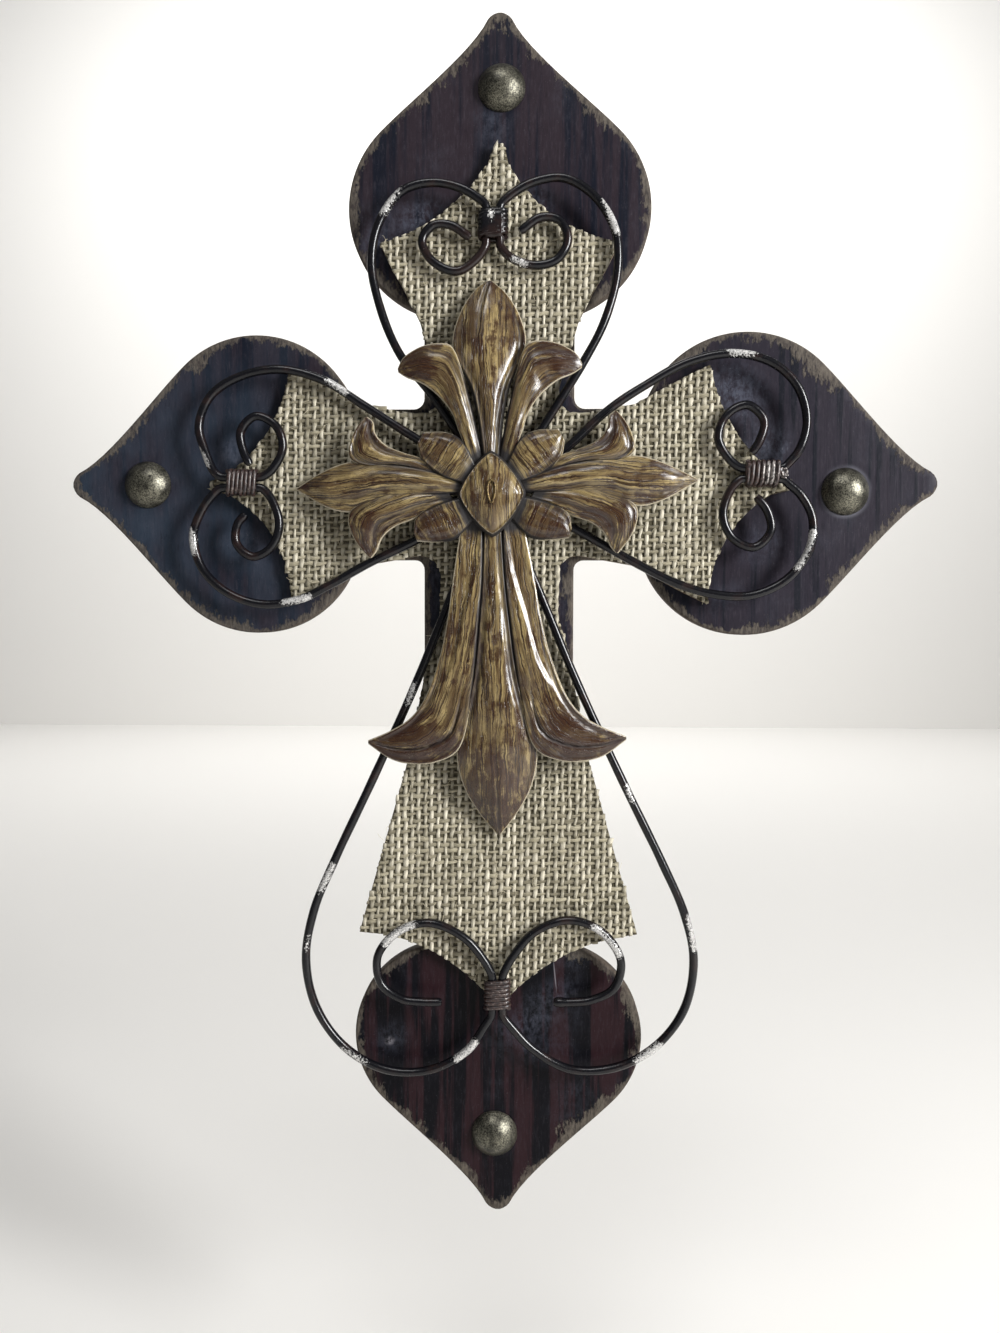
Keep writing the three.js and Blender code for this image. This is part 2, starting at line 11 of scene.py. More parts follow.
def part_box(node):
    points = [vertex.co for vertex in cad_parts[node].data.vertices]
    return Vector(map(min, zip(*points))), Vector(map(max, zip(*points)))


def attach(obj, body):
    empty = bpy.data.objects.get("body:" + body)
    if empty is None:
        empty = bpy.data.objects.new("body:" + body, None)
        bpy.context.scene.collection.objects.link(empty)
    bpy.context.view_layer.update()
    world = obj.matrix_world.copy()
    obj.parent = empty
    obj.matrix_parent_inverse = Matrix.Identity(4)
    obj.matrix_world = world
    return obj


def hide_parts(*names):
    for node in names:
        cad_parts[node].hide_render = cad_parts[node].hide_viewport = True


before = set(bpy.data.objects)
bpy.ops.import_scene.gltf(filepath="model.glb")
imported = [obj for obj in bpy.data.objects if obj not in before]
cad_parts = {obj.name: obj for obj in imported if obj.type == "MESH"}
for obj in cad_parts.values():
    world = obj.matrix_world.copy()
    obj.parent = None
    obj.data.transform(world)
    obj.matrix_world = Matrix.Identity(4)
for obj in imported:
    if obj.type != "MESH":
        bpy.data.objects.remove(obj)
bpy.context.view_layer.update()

# Base board
# A 6.5 mm fibreboard cross with four spade-shaped ends. It is sawn out, its front edge is
# eased, and it is painted near-black with a dry-brushed upright grain, then rubbed back
# to the tan board along its rims.
mm = 0.001
crossing = -118 * mm
board_low, board_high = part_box("base_board")
board_front, board_back = board_low.y, board_high.y
neck, neck_corner = 28 * mm, 4 * mm
wide_lobe = (39.8 * mm, 16.3 * mm, 70.7 * mm)
board_arms = {
    "right": (board_high.x, (1, 0), (0, -1), wide_lobe),
    "top": (board_high.z - crossing, (0, 1), (1, 0), wide_lobe),
    "left": (-board_low.x, (-1, 0), (0, 1), (38.8 * mm, 16.9 * mm, 70 * mm)),
    "bottom": (crossing - board_low.z, (0, -1), (-1, 0), (35.3 * mm, 19.4 * mm, 68.3 * mm)),
}


def arc(across, out, radius, start, end, steps):
    turn = np.radians(np.linspace(start, end, steps + 1))
    return [(across + radius * math.cos(a), out + radius * math.sin(a)) for a in turn]


def board_outline():
    """The board's outline as (x, z), in metres, an arm at a time."""
    outline = []
    for reach, out, across, (radius, side, back) in board_arms.values():
        foot = math.degrees(math.acos((neck - side) / radius))
        half = arc(side, reach - back, radius, -foot, 45, 34)
        shoulder = half[-1]
        ogee = [
            shoulder,
            (shoulder[0] - 11.4 * mm, shoulder[1] + 11.4 * mm),
            (10 * mm, reach - 13.7 * mm),
            (4.6 * mm, reach - 2.5 * mm),
        ]
        for t in np.linspace(0, 1, 13)[1:]:
            weights = ((1 - t) ** 3, 3 * (1 - t) ** 2 * t, 3 * (1 - t) * t * t, t**3)
            half.append(tuple(sum(w * p[i] for w, p in zip(weights, ogee)) for i in (0, 1)))
        half += [(3.5 * mm, reach - 1.3 * mm), (2.2 * mm, reach - 0.5 * mm), (0.8 * mm, reach)]
        middle = neck + neck_corner
        corner = arc(middle, middle, neck_corner, -90, -180, 6)
        arm = corner + half + [(-w, d) for w, d in reversed(half)]
        outline += [
            (across[0] * w + out[0] * d, crossing + across[1] * w + out[1] * d) for w, d in arm
        ]
    return outline


def pick(piece):
    """Leaves only this piece selected."""
    bpy.ops.object.select_all(action="DESELECT")
    piece.select_set(True)
    bpy.context.view_layer.objects.active = piece
    return piece


def name_piece(name):
    piece = bpy.context.object
    piece.name = piece.data.name = name
    return piece


def select_edges(piece, wanted):
    """Goes to edit mode with the edges selected whose two ends pass the test."""
    mesh = piece.data
    for part in (mesh.vertices, mesh.edges, mesh.polygons):
        part.foreach_set("select", [False] * len(part))
    for edge in mesh.edges:
        edge.select = all(wanted(mesh.vertices[i].co) for i in edge.vertices)
    bpy.ops.object.mode_set(mode="EDIT")
    bpy.ops.mesh.select_mode(type="EDGE")


def smooth(piece, angle):
    pick(piece)
    bpy.ops.object.shade_smooth_by_angle(angle=math.radians(angle))


outline = board_outline()
bpy.ops.object.select_all(action="DESELECT")
bpy.ops.mesh.primitive_circle_add(vertices=len(outline), fill_type="NGON")
board = name_piece("painted_board")
for vertex, (x, z) in zip(board.data.vertices, outline):
    vertex.co = (x, board_front, z)
bpy.ops.object.mode_set(mode="EDIT")
bpy.ops.mesh.select_all(action="SELECT")
bpy.ops.mesh.extrude_region_move(TRANSFORM_OT_translate={"value": (0, board_back - board_front, 0)})
bpy.ops.mesh.select_all(action="SELECT")
bpy.ops.mesh.normals_make_consistent(inside=False)
for depth, ease in ((board_front, 0.9 * mm), (board_back, 0.4 * mm)):
    bpy.ops.object.mode_set(mode="OBJECT")
    select_edges(board, lambda co: abs(co.y - depth) < 1e-6)
    bpy.ops.mesh.bevel(offset=ease, segments=3, affect="EDGES", clamp_overlap=True)
grid = 4 * mm
for axis, normal in ((0, (1, 0, 0)), (2, (0, 0, 1))):
    for place in np.arange(board_low[axis] + grid, board_high[axis], grid):
        bpy.ops.mesh.select_all(action="SELECT")
        bpy.ops.mesh.bisect(plane_co=[n * place for n in normal], plane_no=normal)
bpy.ops.object.mode_set(mode="OBJECT")


def distance_to(outline, points):
    """How far each (x, z) point is from the closed outline."""
    a = np.array(outline)
    run = np.roll(a, -1, axis=0) - a
    to_point = points[:, None] - a[None]
    t = np.clip((to_point * run).sum(2) / (run**2).sum(1), 0, 1)
    return np.linalg.norm(to_point - t[..., None] * run, axis=2).min(1)


def store(piece, name, values):
    """Keeps one number a vertex for the finish to read."""
    layer = piece.data.attributes.new(name, "FLOAT", "POINT")
    layer.data.foreach_set("value", np.asarray(values, dtype=np.float32).ravel())


spots = np.array([(v.co.x, v.co.z) for v in board.data.vertices])
store(board, "rim", distance_to(outline, spots) / mm)
smooth(board, 30)


def paint(code):
    """A linear colour from its six-figure screen code."""
    parts = [int(code[i : i + 2], 16) / 255 for i in (0, 2, 4)]
    linear = [c / 12.92 if c <= 0.04045 else ((c + 0.055) / 1.055) ** 2.4 for c in parts]
    return (*linear, 1.0)


class Finish:
    """A finish painted with nodes, in millimetres from the crossing, on the piece itself."""

    def __init__(self, name, **values):
        self.material = bpy.data.materials.new(name)
        self.material.use_nodes = True
        self.tree = self.material.node_tree
        self.shader = self.tree.nodes["Principled BSDF"]
        self.set(**values)
        spot = self.add("ShaderNodeTexCoord").outputs["Object"]
        self.place = self.add(
            "ShaderNodeMapping",
            {"Vector": spot, "Scale": (1000, 1000, 1000), "Location": (0, 0, -crossing * 1000)},
        ).outputs[0]

    def add(self, kind, inputs=None, **settings):
        made = self.tree.nodes.new(kind)
        for key, value in settings.items():
            setattr(made, key, value)
        for key, value in (inputs or {}).items():
            self.plug(made.inputs[key], value)
        return made

    def plug(self, socket, value):
        if isinstance(value, bpy.types.NodeSocket):
            self.tree.links.new(value, socket)
        else:
            socket.default_value = value

    def set(self, **values):
        for key, value in values.items():
            self.plug(self.shader.inputs[key.replace("_", " ")], value)

    def grain(self, size, shift=0.0, detail=3.0, place=None, rough=0.55):
        """Noise from 0 to 1 in blotches of these three sizes."""
        at = self.add("ShaderNodeMapping", {
            "Vector": place or self.place, "Scale": [1 / s for s in size], "Location": [shift] * 3})
        made = self.add("ShaderNodeTexNoise", {
            "Vector": at.outputs[0], "Scale": 1.0, "Detail": detail, "Roughness": rough})
        return made.outputs["Fac"]

    def math(self, operation, a, b=0.0, c=0.0):
        return self.add("ShaderNodeMath", {0: a, 1: b, 2: c}, operation=operation).outputs[0]

    def times(self, a, b):
        return self.math("MULTIPLY", a, b)

    def plus(self, a, b):
        return self.math("ADD", a, b)

    def step(self, value, low, high):
        """0 at low, 1 at high, eased between."""
        made = self.add("ShaderNodeMapRange", {"Value": value, "From Min": low, "From Max": high},
                        interpolation_type="SMOOTHSTEP")
        return made.outputs[0]

    def mix(self, share, below, above):
        made = self.add("ShaderNodeMix", {0: share, 6: below, 7: above}, data_type="RGBA")
        return made.outputs[2]

    def kept(self, name):
        return self.add("ShaderNodeAttribute", attribute_name=name).outputs["Fac"]

    def axis(self, letter):
        return self.add("ShaderNodeSeparateXYZ", {0: self.place}).outputs[letter]

    def near(self, x, z, across, up, turn=0.0):
        """1 at a spot on the front, falling to 0 at an ellipse round it."""
        flat = self.add("ShaderNodeVectorMath", {0: self.place, 1: (1, 0, 1)}, operation="MULTIPLY")
        moved = self.add("ShaderNodeVectorMath", {0: flat.outputs[0], 1: (x, 0, z)},
                         operation="SUBTRACT")
        turned = self.add("ShaderNodeVectorRotate", {
            "Vector": moved.outputs[0], "Angle": math.radians(turn)}, rotation_type="Y_AXIS")
        scaled = self.add("ShaderNodeVectorMath", {0: turned.outputs[0], 1: (1 / across, 0, 1 / up)},
                          operation="MULTIPLY")
        far = self.add("ShaderNodeVectorMath", {0: scaled.outputs[0]}, operation="LENGTH")
        return self.step(far.outputs["Value"], 1.0, 0.0)

    def relief(self, height, depth, under=None):
        """Bump whose height, from 0 to 1, stands this many millimetres."""
        inputs = {"Height": height, "Distance": depth * mm, "Strength": 1.0}
        if under is not None:
            inputs["Normal"] = under
        return self.add("ShaderNodeBump", inputs).outputs[0]


# Upright brush strokes, browner on the low arm and darker there as painted shade, slate on the left one
black = Finish("painted_board", Specular_IOR_Level=0.12)
swathes = black.grain((8.5, 75, 110), 12.3, 3, rough=0.5)
strokes = black.grain((3.4, 60, 80), 3.1, 3, rough=0.5)
streaks = black.grain((1.2, 34, 40), 9.1, 4, rough=0.6)
hairlines = black.grain((0.45, 9, 16), 7.7)
haze = black.grain((26, 26, 34), 1.3)
# The low arm: its own redder brown, and darker there as painted shade
low_arm_tone_and_shade = black.step(black.axis("Z"), -148.0, -176.0)
left_arm = black.step(black.axis("X"), -46.0, -100.0)
right_arm = black.step(black.axis("X"), 46.0, 100.0)
brown = black.mix(low_arm_tone_and_shade, paint("261f25"), paint("231317"))
dark = black.mix(low_arm_tone_and_shade, paint("10131d"), paint("030308"))
streak = black.plus(black.times(swathes, 0.42), black.times(strokes, 0.38))
streak = black.plus(streak, black.times(streaks, 0.2))
streak = black.plus(streak, black.times(black.math("SUBTRACT", hairlines, 0.5), 0.05))
streak = black.step(streak, black.math("MULTIPLY_ADD", low_arm_tone_and_shade, 0.02, 0.445),
                    black.math("MULTIPLY_ADD", low_arm_tone_and_shade, -0.03, 0.565))
coat = black.mix(streak, brown, dark)
slate = black.times(left_arm, black.step(haze, 0.2, 0.6))
slate = black.times(slate, black.step(black.axis("Z"), 84.0, 12.0))
coat = black.mix(black.times(slate, 0.76), coat, paint("2d3642"))
slender = black.step(strokes, 0.54, 0.63)
right_coat = black.mix(slender, paint("25222a"), paint("14151c"))
coat = black.mix(black.times(right_arm, 0.85), coat, right_coat)
scuff = black.grain((0.9, 3.5, 4.5), 2.9, 5, rough=0.7)
scuffed = black.times(
    black.step(scuff, 0.5, 0.72), black.math("MULTIPLY_ADD", low_arm_tone_and_shade, -0.12, 0.26))
coat = black.mix(scuffed, coat, paint("454148"))
coat = black.mix(black.times(black.step(scuff, 0.46, 0.3), 0.35), coat, paint("0c0b10"))
# Where glue was wiped off beside the burlap: middle, reach across and up, turn, and how much
smears = [
    (0, -10, 66, 80, 0, 0.5), (16, -199, 26, 11, 40, 0.55), (36, -172, 24, 10, 32, 0.7),
    (10, -212, 22, 14, 0, 0.3), (-41, -211, 12, 9, 30, 0.3), (88, 33, 18, 15, -30, 1.0),
    (100, 14, 12, 14, 0, 0.8), (98, -22, 15, 12, 20, 0.4), (84, -42, 16, 8, 20, 0.3),
    (-30, 98, 17, 10, 20, 0.9), (-44, 88, 12, 9, 0, 0.6), (13, 106, 14, 7, -25, 0.6),
    (-2, 132, 10, 16, 0, 0.4), (-99, 10, 13, 10, 0, 0.8), (-95, -22, 12, 12, 0, 0.5),
]
dusty = black.times(black.step(haze, 0.5, 0.75), 0.22)
for x, z, across, up, turn, share in smears:
    dusty = black.plus(dusty, black.times(black.near(x, z, across, up, turn), share))
cloudy = black.grain((2.6, 2.6, 4), 8.8, 6, rough=0.8)
dusty = black.times(dusty, black.step(cloudy, 0.36, 0.66))
coat = black.mix(black.math("MINIMUM", dusty, 0.8), coat, paint("4a4d59"))
# The pale ring pressed round the right nail, then scratches and specks of dust
ring = black.near(128.3, -2.9, 11.2, 11.2)
ring = black.times(black.step(ring, 0.0, 0.1), black.step(ring, 0.24, 0.12))
ring = black.times(ring, black.times(black.step(haze, 0.3, 0.6), 0.6))
coat = black.mix(ring, coat, paint("62626a"))
fleck = black.times(black.near(-41.5, -212, 2.6, 2.2, 20), black.step(cloudy, 0.35, 0.6))
scratch = black.plus(black.near(21.7, -186, 0.35, 8.5, 6), fleck)
fine_scratch = black.step(black.grain((0.14, 3, 9), 5.9, 1), 0.74, 0.78)
scratch = black.plus(scratch, black.times(fine_scratch, 0.12))
speck = black.step(black.grain((0.5, 0.5, 0.5), 4.4, 2), 0.68, 0.76)
specks = black.times(speck, black.plus(black.times(dusty, 0.9), 0.12))
coat = black.mix(black.math("MINIMUM", black.plus(scratch, specks), 0.6), coat, paint("7d7a80"))
# Rims rubbed back to tan, most at the right arm's upper side and the low arm's right side
rim = black.kept("rim")
brushed = black.grain((1.1, 2.4, 2.8), 5.2, 6, rough=0.75)
patchy = black.grain((9, 12, 13), 9.4, 4, rough=0.6)
rubbed = black.plus(black.times(black.near(118, 41, 36, 19, 45), 4.5), black.times(
    black.near(30, -248, 38, 17, -48), 4.4))
rubbed = black.plus(rubbed, black.math("MULTIPLY_ADD", patchy, 15.0, -4.6))
worn = black.times(rubbed, black.math("MULTIPLY_ADD", brushed, 3.4, -0.85))
worn = black.step(black.math("SUBTRACT", worn, rim), -0.5, 0.6)
tan = black.step(black.grain((0.9, 2, 3), 2.2, 5, rough=0.75), 0.34, 0.66)
tan = black.mix(tan, paint("37322f"), paint("655e54"))
coat = black.mix(black.times(worn, 0.78), coat, tan)
edge = black.step(black.plus(rim, black.times(brushed, 1.6)), 1.5, 0.5)
coat = black.mix(black.times(edge, 0.45), coat, paint("4a3d32"))
# The bare back, with paint that ran over its rim
behind = black.step(black.axis("Y"), -3.9, -3.2)
raw = black.mix(black.grain((0.9, 4, 2), 6.1, 4), paint("5b4733"), paint("8a7353"))
over = black.step(black.math("SUBTRACT", rim, black.times(patchy, 13.0)), -5.0, 3.0)
coat = black.mix(behind, coat, black.mix(over, paint("3a2f2b"), raw))
gloss = black.math("MULTIPLY_ADD", haze, 0.25, 0.3)
black.set(
    Base_Color=coat,
    Roughness=black.math("MINIMUM", black.plus(gloss, black.times(worn, 0.3)), 0.8),
    Normal=black.relief(worn, -0.12, black.relief(strokes, 0.12, black.relief(hairlines, 0.03))),
)


def dress(piece, finish, slot, *nodes):
    """Gives the piece its finish, sets it on the root body, and hides the imported parts it replaces."""
    piece.data.materials.clear()
    piece.data.materials.append(finish.material)
    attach(piece, "root")
    if nodes:
        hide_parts(*nodes)


dress(board, black, "painted_board", "base_board")

# Burlap panel
# Coarse plain-weave jute glued over a thin fibreboard panel cut to the same outline. The
# upright yarns show most, with a painted highlight where they cross over and painted shade
# where they dive under; the dark ground in the gaps between the yarns is partly glue and
# partly painted shade, and a pale line of cloth shows along the cut edges.
cloth_low, cloth_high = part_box("burlap_facing")
cloth_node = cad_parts["burlap_facing"]
upright_pitch, cross_pitch = 2.57 * mm, 2.29 * mm
yarn_sides, yarn_steps = 5, 4
shortest_yarn, beside, steepest_cut = 1.2 * mm, 0.5 * mm, 2.5
cloth_middle = (cloth_low.y + cloth_high.y) / 2
# Where the first of the yarns that run the other way lies, for upright and for cross yarns
near_other = {True: cloth_low.z + cross_pitch * 0.3, False: cloth_low.x + upright_pitch * 0.3}
chance = np.random.default_rng(18)


def crossings(origin, direction):
    """Where a straight line is inside the cloth, as pairs of distances."""
    found, start = [], 0.0
    while True:
        hit, place, _, _ = cloth_node.ray_cast(origin + direction * start, direction)
        if not hit:
            return list(zip(found[::2], found[1::2]))
        found.append((place - origin).dot(direction))
        start = found[-1] + 1e-5


def wander(count, size, spacing):
    """A smooth random run of numbers."""
    knots = chance.normal(0, size, max(4, count // spacing + 2))
    return np.interp(np.linspace(0, len(knots) - 1, count), np.arange(len(knots)), knots)


def set_uv(piece, name, places):
    """A UV map from one (u, v) a vertex."""
    layer = piece.data.uv_layers.get(name) or piece.data.uv_layers.new(name=name)
    corner = np.empty(len(piece.data.loops), dtype=np.int64)
    piece.data.loops.foreach_get("vertex_index", corner)
    layer.data.foreach_set("uv", np.asarray(places)[corner].astype(np.float32).ravel())


def yarns(name, upright):
    """All the yarns that run one way, each passing over and under the others in turn."""
    pitch, other = (upright_pitch, cross_pitch) if upright else (cross_pitch, upright_pitch)
    run, side = (Vector((0, 0, 1)), Vector((1, 0, 0)))[:: 1 if upright else -1]
    near, far = (cloth_low.x, cloth_high.x) if upright else (cloth_low.z, cloth_high.z)
    start = (cloth_low.z if upright else cloth_low.x) - 5 * mm
    half_width, half_depth = (0.79 * mm, 0.34 * mm) if upright else (0.72 * mm, 0.31 * mm)
    middle = cloth_middle - (0.05 * mm if upright else -0.04 * mm)
    turn = np.arange(yarn_sides) * 2 * math.pi / yarn_sides
    verts, faces, tones, crown_highlights, lay, base = [], [], [], [], [], 0
    for number, place in enumerate(np.arange(near + pitch * 0.3, far, pitch)):
        spans = [crossings(side * (place + shift) + run * start + Vector((0, cloth_middle, 0)), run)
                 for shift in (0, -beside, beside)]
        tone, drift = chance.normal(0, 1), chance.normal(0, 0.1 * mm)
        for enter, leave in spans[0]:
            if leave - enter < shortest_yarn:
                continue
            slopes = []
            for end, which in ((enter, 0), (leave, 1)):
                cuts = [min((s[which] for s in span), key=lambda d: abs(d - end), default=end)
                        for span in spans[1:]]
                slope = (cuts[1] - cuts[0]) / (2 * beside)
                slopes.append(slope if abs(slope) < steepest_cut else 0.0)
            low = enter + chance.uniform(-0.25, 0.2) * mm
            high = leave + chance.uniform(-0.2, 0.25) * mm
            count = max(5, int((high - low) / other * yarn_steps))
            along = np.linspace(low, high, count)
            phase = (start + along - near_other[upright]) / other + number + (0 if upright else 1)
            # Where the yarn crosses over (1) and dives under (-1): it lifts the yarn, and the finish
            # paints a highlight on the crossings and shade in the dips
            crown_and_highlight = np.cos(math.pi * phase)
            width = half_width * (1 + np.clip(wander(count, 0.22, 6), -0.4, 0.45))
            sway = drift + wander(count, 0.17 * mm, 7) + 0.12 * mm * np.sin(math.pi * phase)
            across = width[:, None] * np.cos(turn)[None]
            ease = np.clip(1 - np.arange(count) / 3, 0, 1)[:, None]
            shear = across * (slopes[0] * ease + slopes[1] * ease[::-1])
            verts.append((
                np.array(run) * (start + along[:, None] + shear)[..., None]
                + np.array(side) * (place + sway[:, None] + across)[..., None]
                + np.array((0, 1, 0)) * (
                    middle - 0.17 * mm * crown_and_highlight[:, None] - half_depth * np.sin(turn)[None])[..., None]
            ).reshape(-1, 3))
            rows, around = np.arange(count - 1)[:, None] * yarn_sides, np.arange(yarn_sides)[None]
            ring, after = rows + around, rows + (around + 1) % yarn_sides
            quads = np.stack([ring, after, after + yarn_sides, ring + yarn_sides], -1) + base
            faces += [tuple(q) for q in quads.reshape(-1, 4).tolist()]
            last = base + (count - 1) * yarn_sides
            faces.append(tuple(range(base, base + yarn_sides))[::-1])
            faces.append(tuple(range(last, last + yarn_sides)))
            tones.append(np.repeat(tone + wander(count, 0.7, 9), yarn_sides))
            crown_highlights.append(np.repeat(crown_and_highlight, yarn_sides))
            lay.append(np.stack([np.tile(turn * 0.4, count), np.repeat(along / mm, yarn_sides)], -1))
            base += count * yarn_sides
    mesh = bpy.data.meshes.new(name)
    mesh.from_pydata(np.concatenate(verts).tolist(), [], faces)
    piece = bpy.data.objects.new(name, mesh)
    bpy.context.collection.objects.link(piece)
    pick(piece)
    bpy.ops.object.mode_set(mode="EDIT")
    bpy.ops.mesh.select_all(action="SELECT")
    bpy.ops.mesh.normals_make_consistent(inside=False)
    bpy.ops.object.mode_set(mode="OBJECT")
    store(piece, "tone", np.concatenate(tones))
    store(piece, "crown_and_highlight", np.concatenate(crown_highlights))
    set_uv(piece, "Yarn", np.concatenate(lay))
    mesh.polygons.foreach_set("use_smooth", [True] * len(mesh.polygons))
    return piece


upright_yarns = yarns("burlap_upright_yarns", True)
cross_yarns = yarns("burlap_cross_yarns", False)


def jute(name, pale, dark, size, highlight_rise):
    """Twisted jute, with a painted highlight where it crosses over and painted shade where it dives
    under.
    """
    yarn = Finish(name, Roughness=0.85, Specular_IOR_Level=0.2, Sheen_Weight=0.12, Sheen_Roughness=0.5)
    lay = yarn.add("ShaderNodeUVMap", uv_map="Yarn").outputs[0]
    twist = yarn.grain((0.35, 2.2, 1), 1.7, 4, lay, 0.7)
    fibre = yarn.grain(size, 3.7, 4, rough=0.7)
    blotch = yarn.grain((6, 6, 6), 4.9, 3)
    share = yarn.math("MULTIPLY_ADD", yarn.kept("tone"), 0.10, -0.12)
    # Painted highlight on the crossings, painted shade where the yarn dives under
    share = yarn.plus(share, yarn.times(yarn.kept("crown_and_highlight"), highlight_rise))
    share = yarn.plus(share, yarn.times(yarn.plus(yarn.plus(fibre, twist), blotch), 0.40))
    worn = yarn.mix(yarn.step(share, 0.05, 0.95), paint(dark), paint(pale))
    yarn.set(Base_Color=worn, Normal=yarn.relief(twist, 0.22, yarn.relief(fibre, 0.18)))
    return yarn


dress(upright_yarns, jute("jute_upright", "d0c9b6", "6b6553", (0.4, 1, 5), 0.13), "burlap")
dress(cross_yarns, jute("jute_cross", "aea68f", "5a5444", (5, 1, 0.4), 0.09), "burlap")

# The cloth under the yarns, thinned towards its back, with a paler hem round its edge
ground = bpy.data.objects.new("burlap_ground", cloth_node.data.copy())
bpy.context.collection.objects.link(ground)
pick(ground)
ground.data.name = ground.name
bpy.ops.object.mode_set(mode="EDIT")
bpy.ops.mesh.select_all(action="SELECT")
bpy.ops.mesh.remove_doubles(threshold=1e-5)
bpy.ops.transform.resize(value=(1, 0.35, 1), center_override=(0, cloth_high.y, 0))
bpy.ops.object.mode_set(mode="OBJECT")
for face in ground.data.polygons:
    face.select = face.normal.y < -0.9
bpy.ops.object.mode_set(mode="EDIT")
bpy.ops.mesh.select_mode(type="FACE")
bpy.ops.mesh.inset(thickness=0.7 * mm)
bpy.ops.object.mode_set(mode="OBJECT")
inner = set()
for face in ground.data.polygons:
    if face.select:
        inner.update(face.vertices)
store(ground, "hem", [0.0 if i in inner else 1.0 for i in range(len(ground.data.vertices))])

glued_shaded_ground = Finish("glue_and_shade_jute", Roughness=0.9, Specular_IOR_Level=0.2)
fuzz = glued_shaded_ground.grain((0.8, 0.8, 0.8), 3.3, 5, rough=0.7)
# The gaps between the yarns: partly dark glue, partly painted shade
glue_and_shade = glued_shaded_ground.mix(glued_shaded_ground.step(fuzz, 0.3, 0.7), paint("322e25"), paint("5c5644"))
hem = glued_shaded_ground.times(glued_shaded_ground.step(glued_shaded_ground.kept("hem"), 0.3, 0.7), glued_shaded_ground.step(fuzz, 0.3, 0.5))
glued_shaded_ground.set(
    Base_Color=glued_shaded_ground.mix(hem, glue_and_shade, paint("a89d80")),
    Normal=glued_shaded_ground.relief(glued_shaded_ground.grain((0.5, 0.5, 0.5), 8.1), 0.15),
)

# Loose fibres that curl a little over the cloth
stray_count = 420
fibre_lines = []
for _ in range(stray_count):
    while True:
        spot = Vector((chance.uniform(cloth_low.x, cloth_high.x), board_front - 30 * mm,
                       chance.uniform(cloth_low.z, cloth_high.z)))
        if cloth_node.ray_cast(spot, Vector((0, 1, 0)))[0]:
            break
    heading, bend = chance.uniform(0, 2 * math.pi), chance.normal(0, 0.9)
    length = chance.uniform(1.5, 5.0) * mm
    points = []
    for t in np.linspace(0, 1, 6):
        points.append((
            spot.x + length * t * math.cos(heading + bend * t),
            cloth_low.y + 0.05 * mm - 0.22 * mm * math.sin(math.pi * t),
            spot.z + length * t * math.sin(heading + bend * t),
        ))
    fibre_lines.append(points)


def tube(name, lines, radius, resolution, swell=None):
    """Lines given a round thickness as one curve, then made a mesh."""
    bpy.ops.object.select_all(action="DESELECT")
    bpy.ops.curve.primitive_nurbs_path_add()
    made = name_piece(name)
    made.data.splines.clear()
    for line in lines:
        route = made.data.splines.new("POLY")
        route.points.add(len(line) - 1)
        route.points.foreach_set("co", np.column_stack([line, np.ones(len(line))]).ravel())
        if swell is not None:
            route.points.foreach_set("radius", swell)
    made.data.twist_mode = "MINIMUM"
    made.data.bevel_depth = radius
    made.data.bevel_resolution = resolution
    made.data.use_fill_caps = True
    bpy.ops.object.convert(target="MESH")
    made = bpy.context.object
    smooth(made, 50)
    return made


strays = tube("stray_jute_fibres", fibre_lines, 0.05 * mm, 0)
stray = Finish("stray_fibre", Roughness=0.8)
stray.set(Base_Color=stray.mix(stray.grain((3, 3, 3), 2.1), paint("b8ad90"), paint("e6dcc2")),
          Normal=stray.relief(stray.grain((0.2, 0.2, 0.2), 1.1), 0.02))
dress(strays, stray, "burlap")
dress(ground, glued_shaded_ground, "burlap", "burlap_facing")

panel_board = Finish("panel_fibreboard", Roughness=0.85)
panel_board.set(
    Base_Color=panel_board.mix(
        panel_board.grain((1.5, 0.5, 1.5), 2.9, 4), paint("4e4033"), paint("85765f")),
    Normal=panel_board.relief(panel_board.grain((0.6, 0.3, 0.6), 6.6), 0.08),
)


def refinish(node, finish):
    """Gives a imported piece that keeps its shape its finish."""
    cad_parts[node].data.materials.clear()
    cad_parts[node].data.materials.append(finish.material)


refinish("burlap_backing", panel_board)

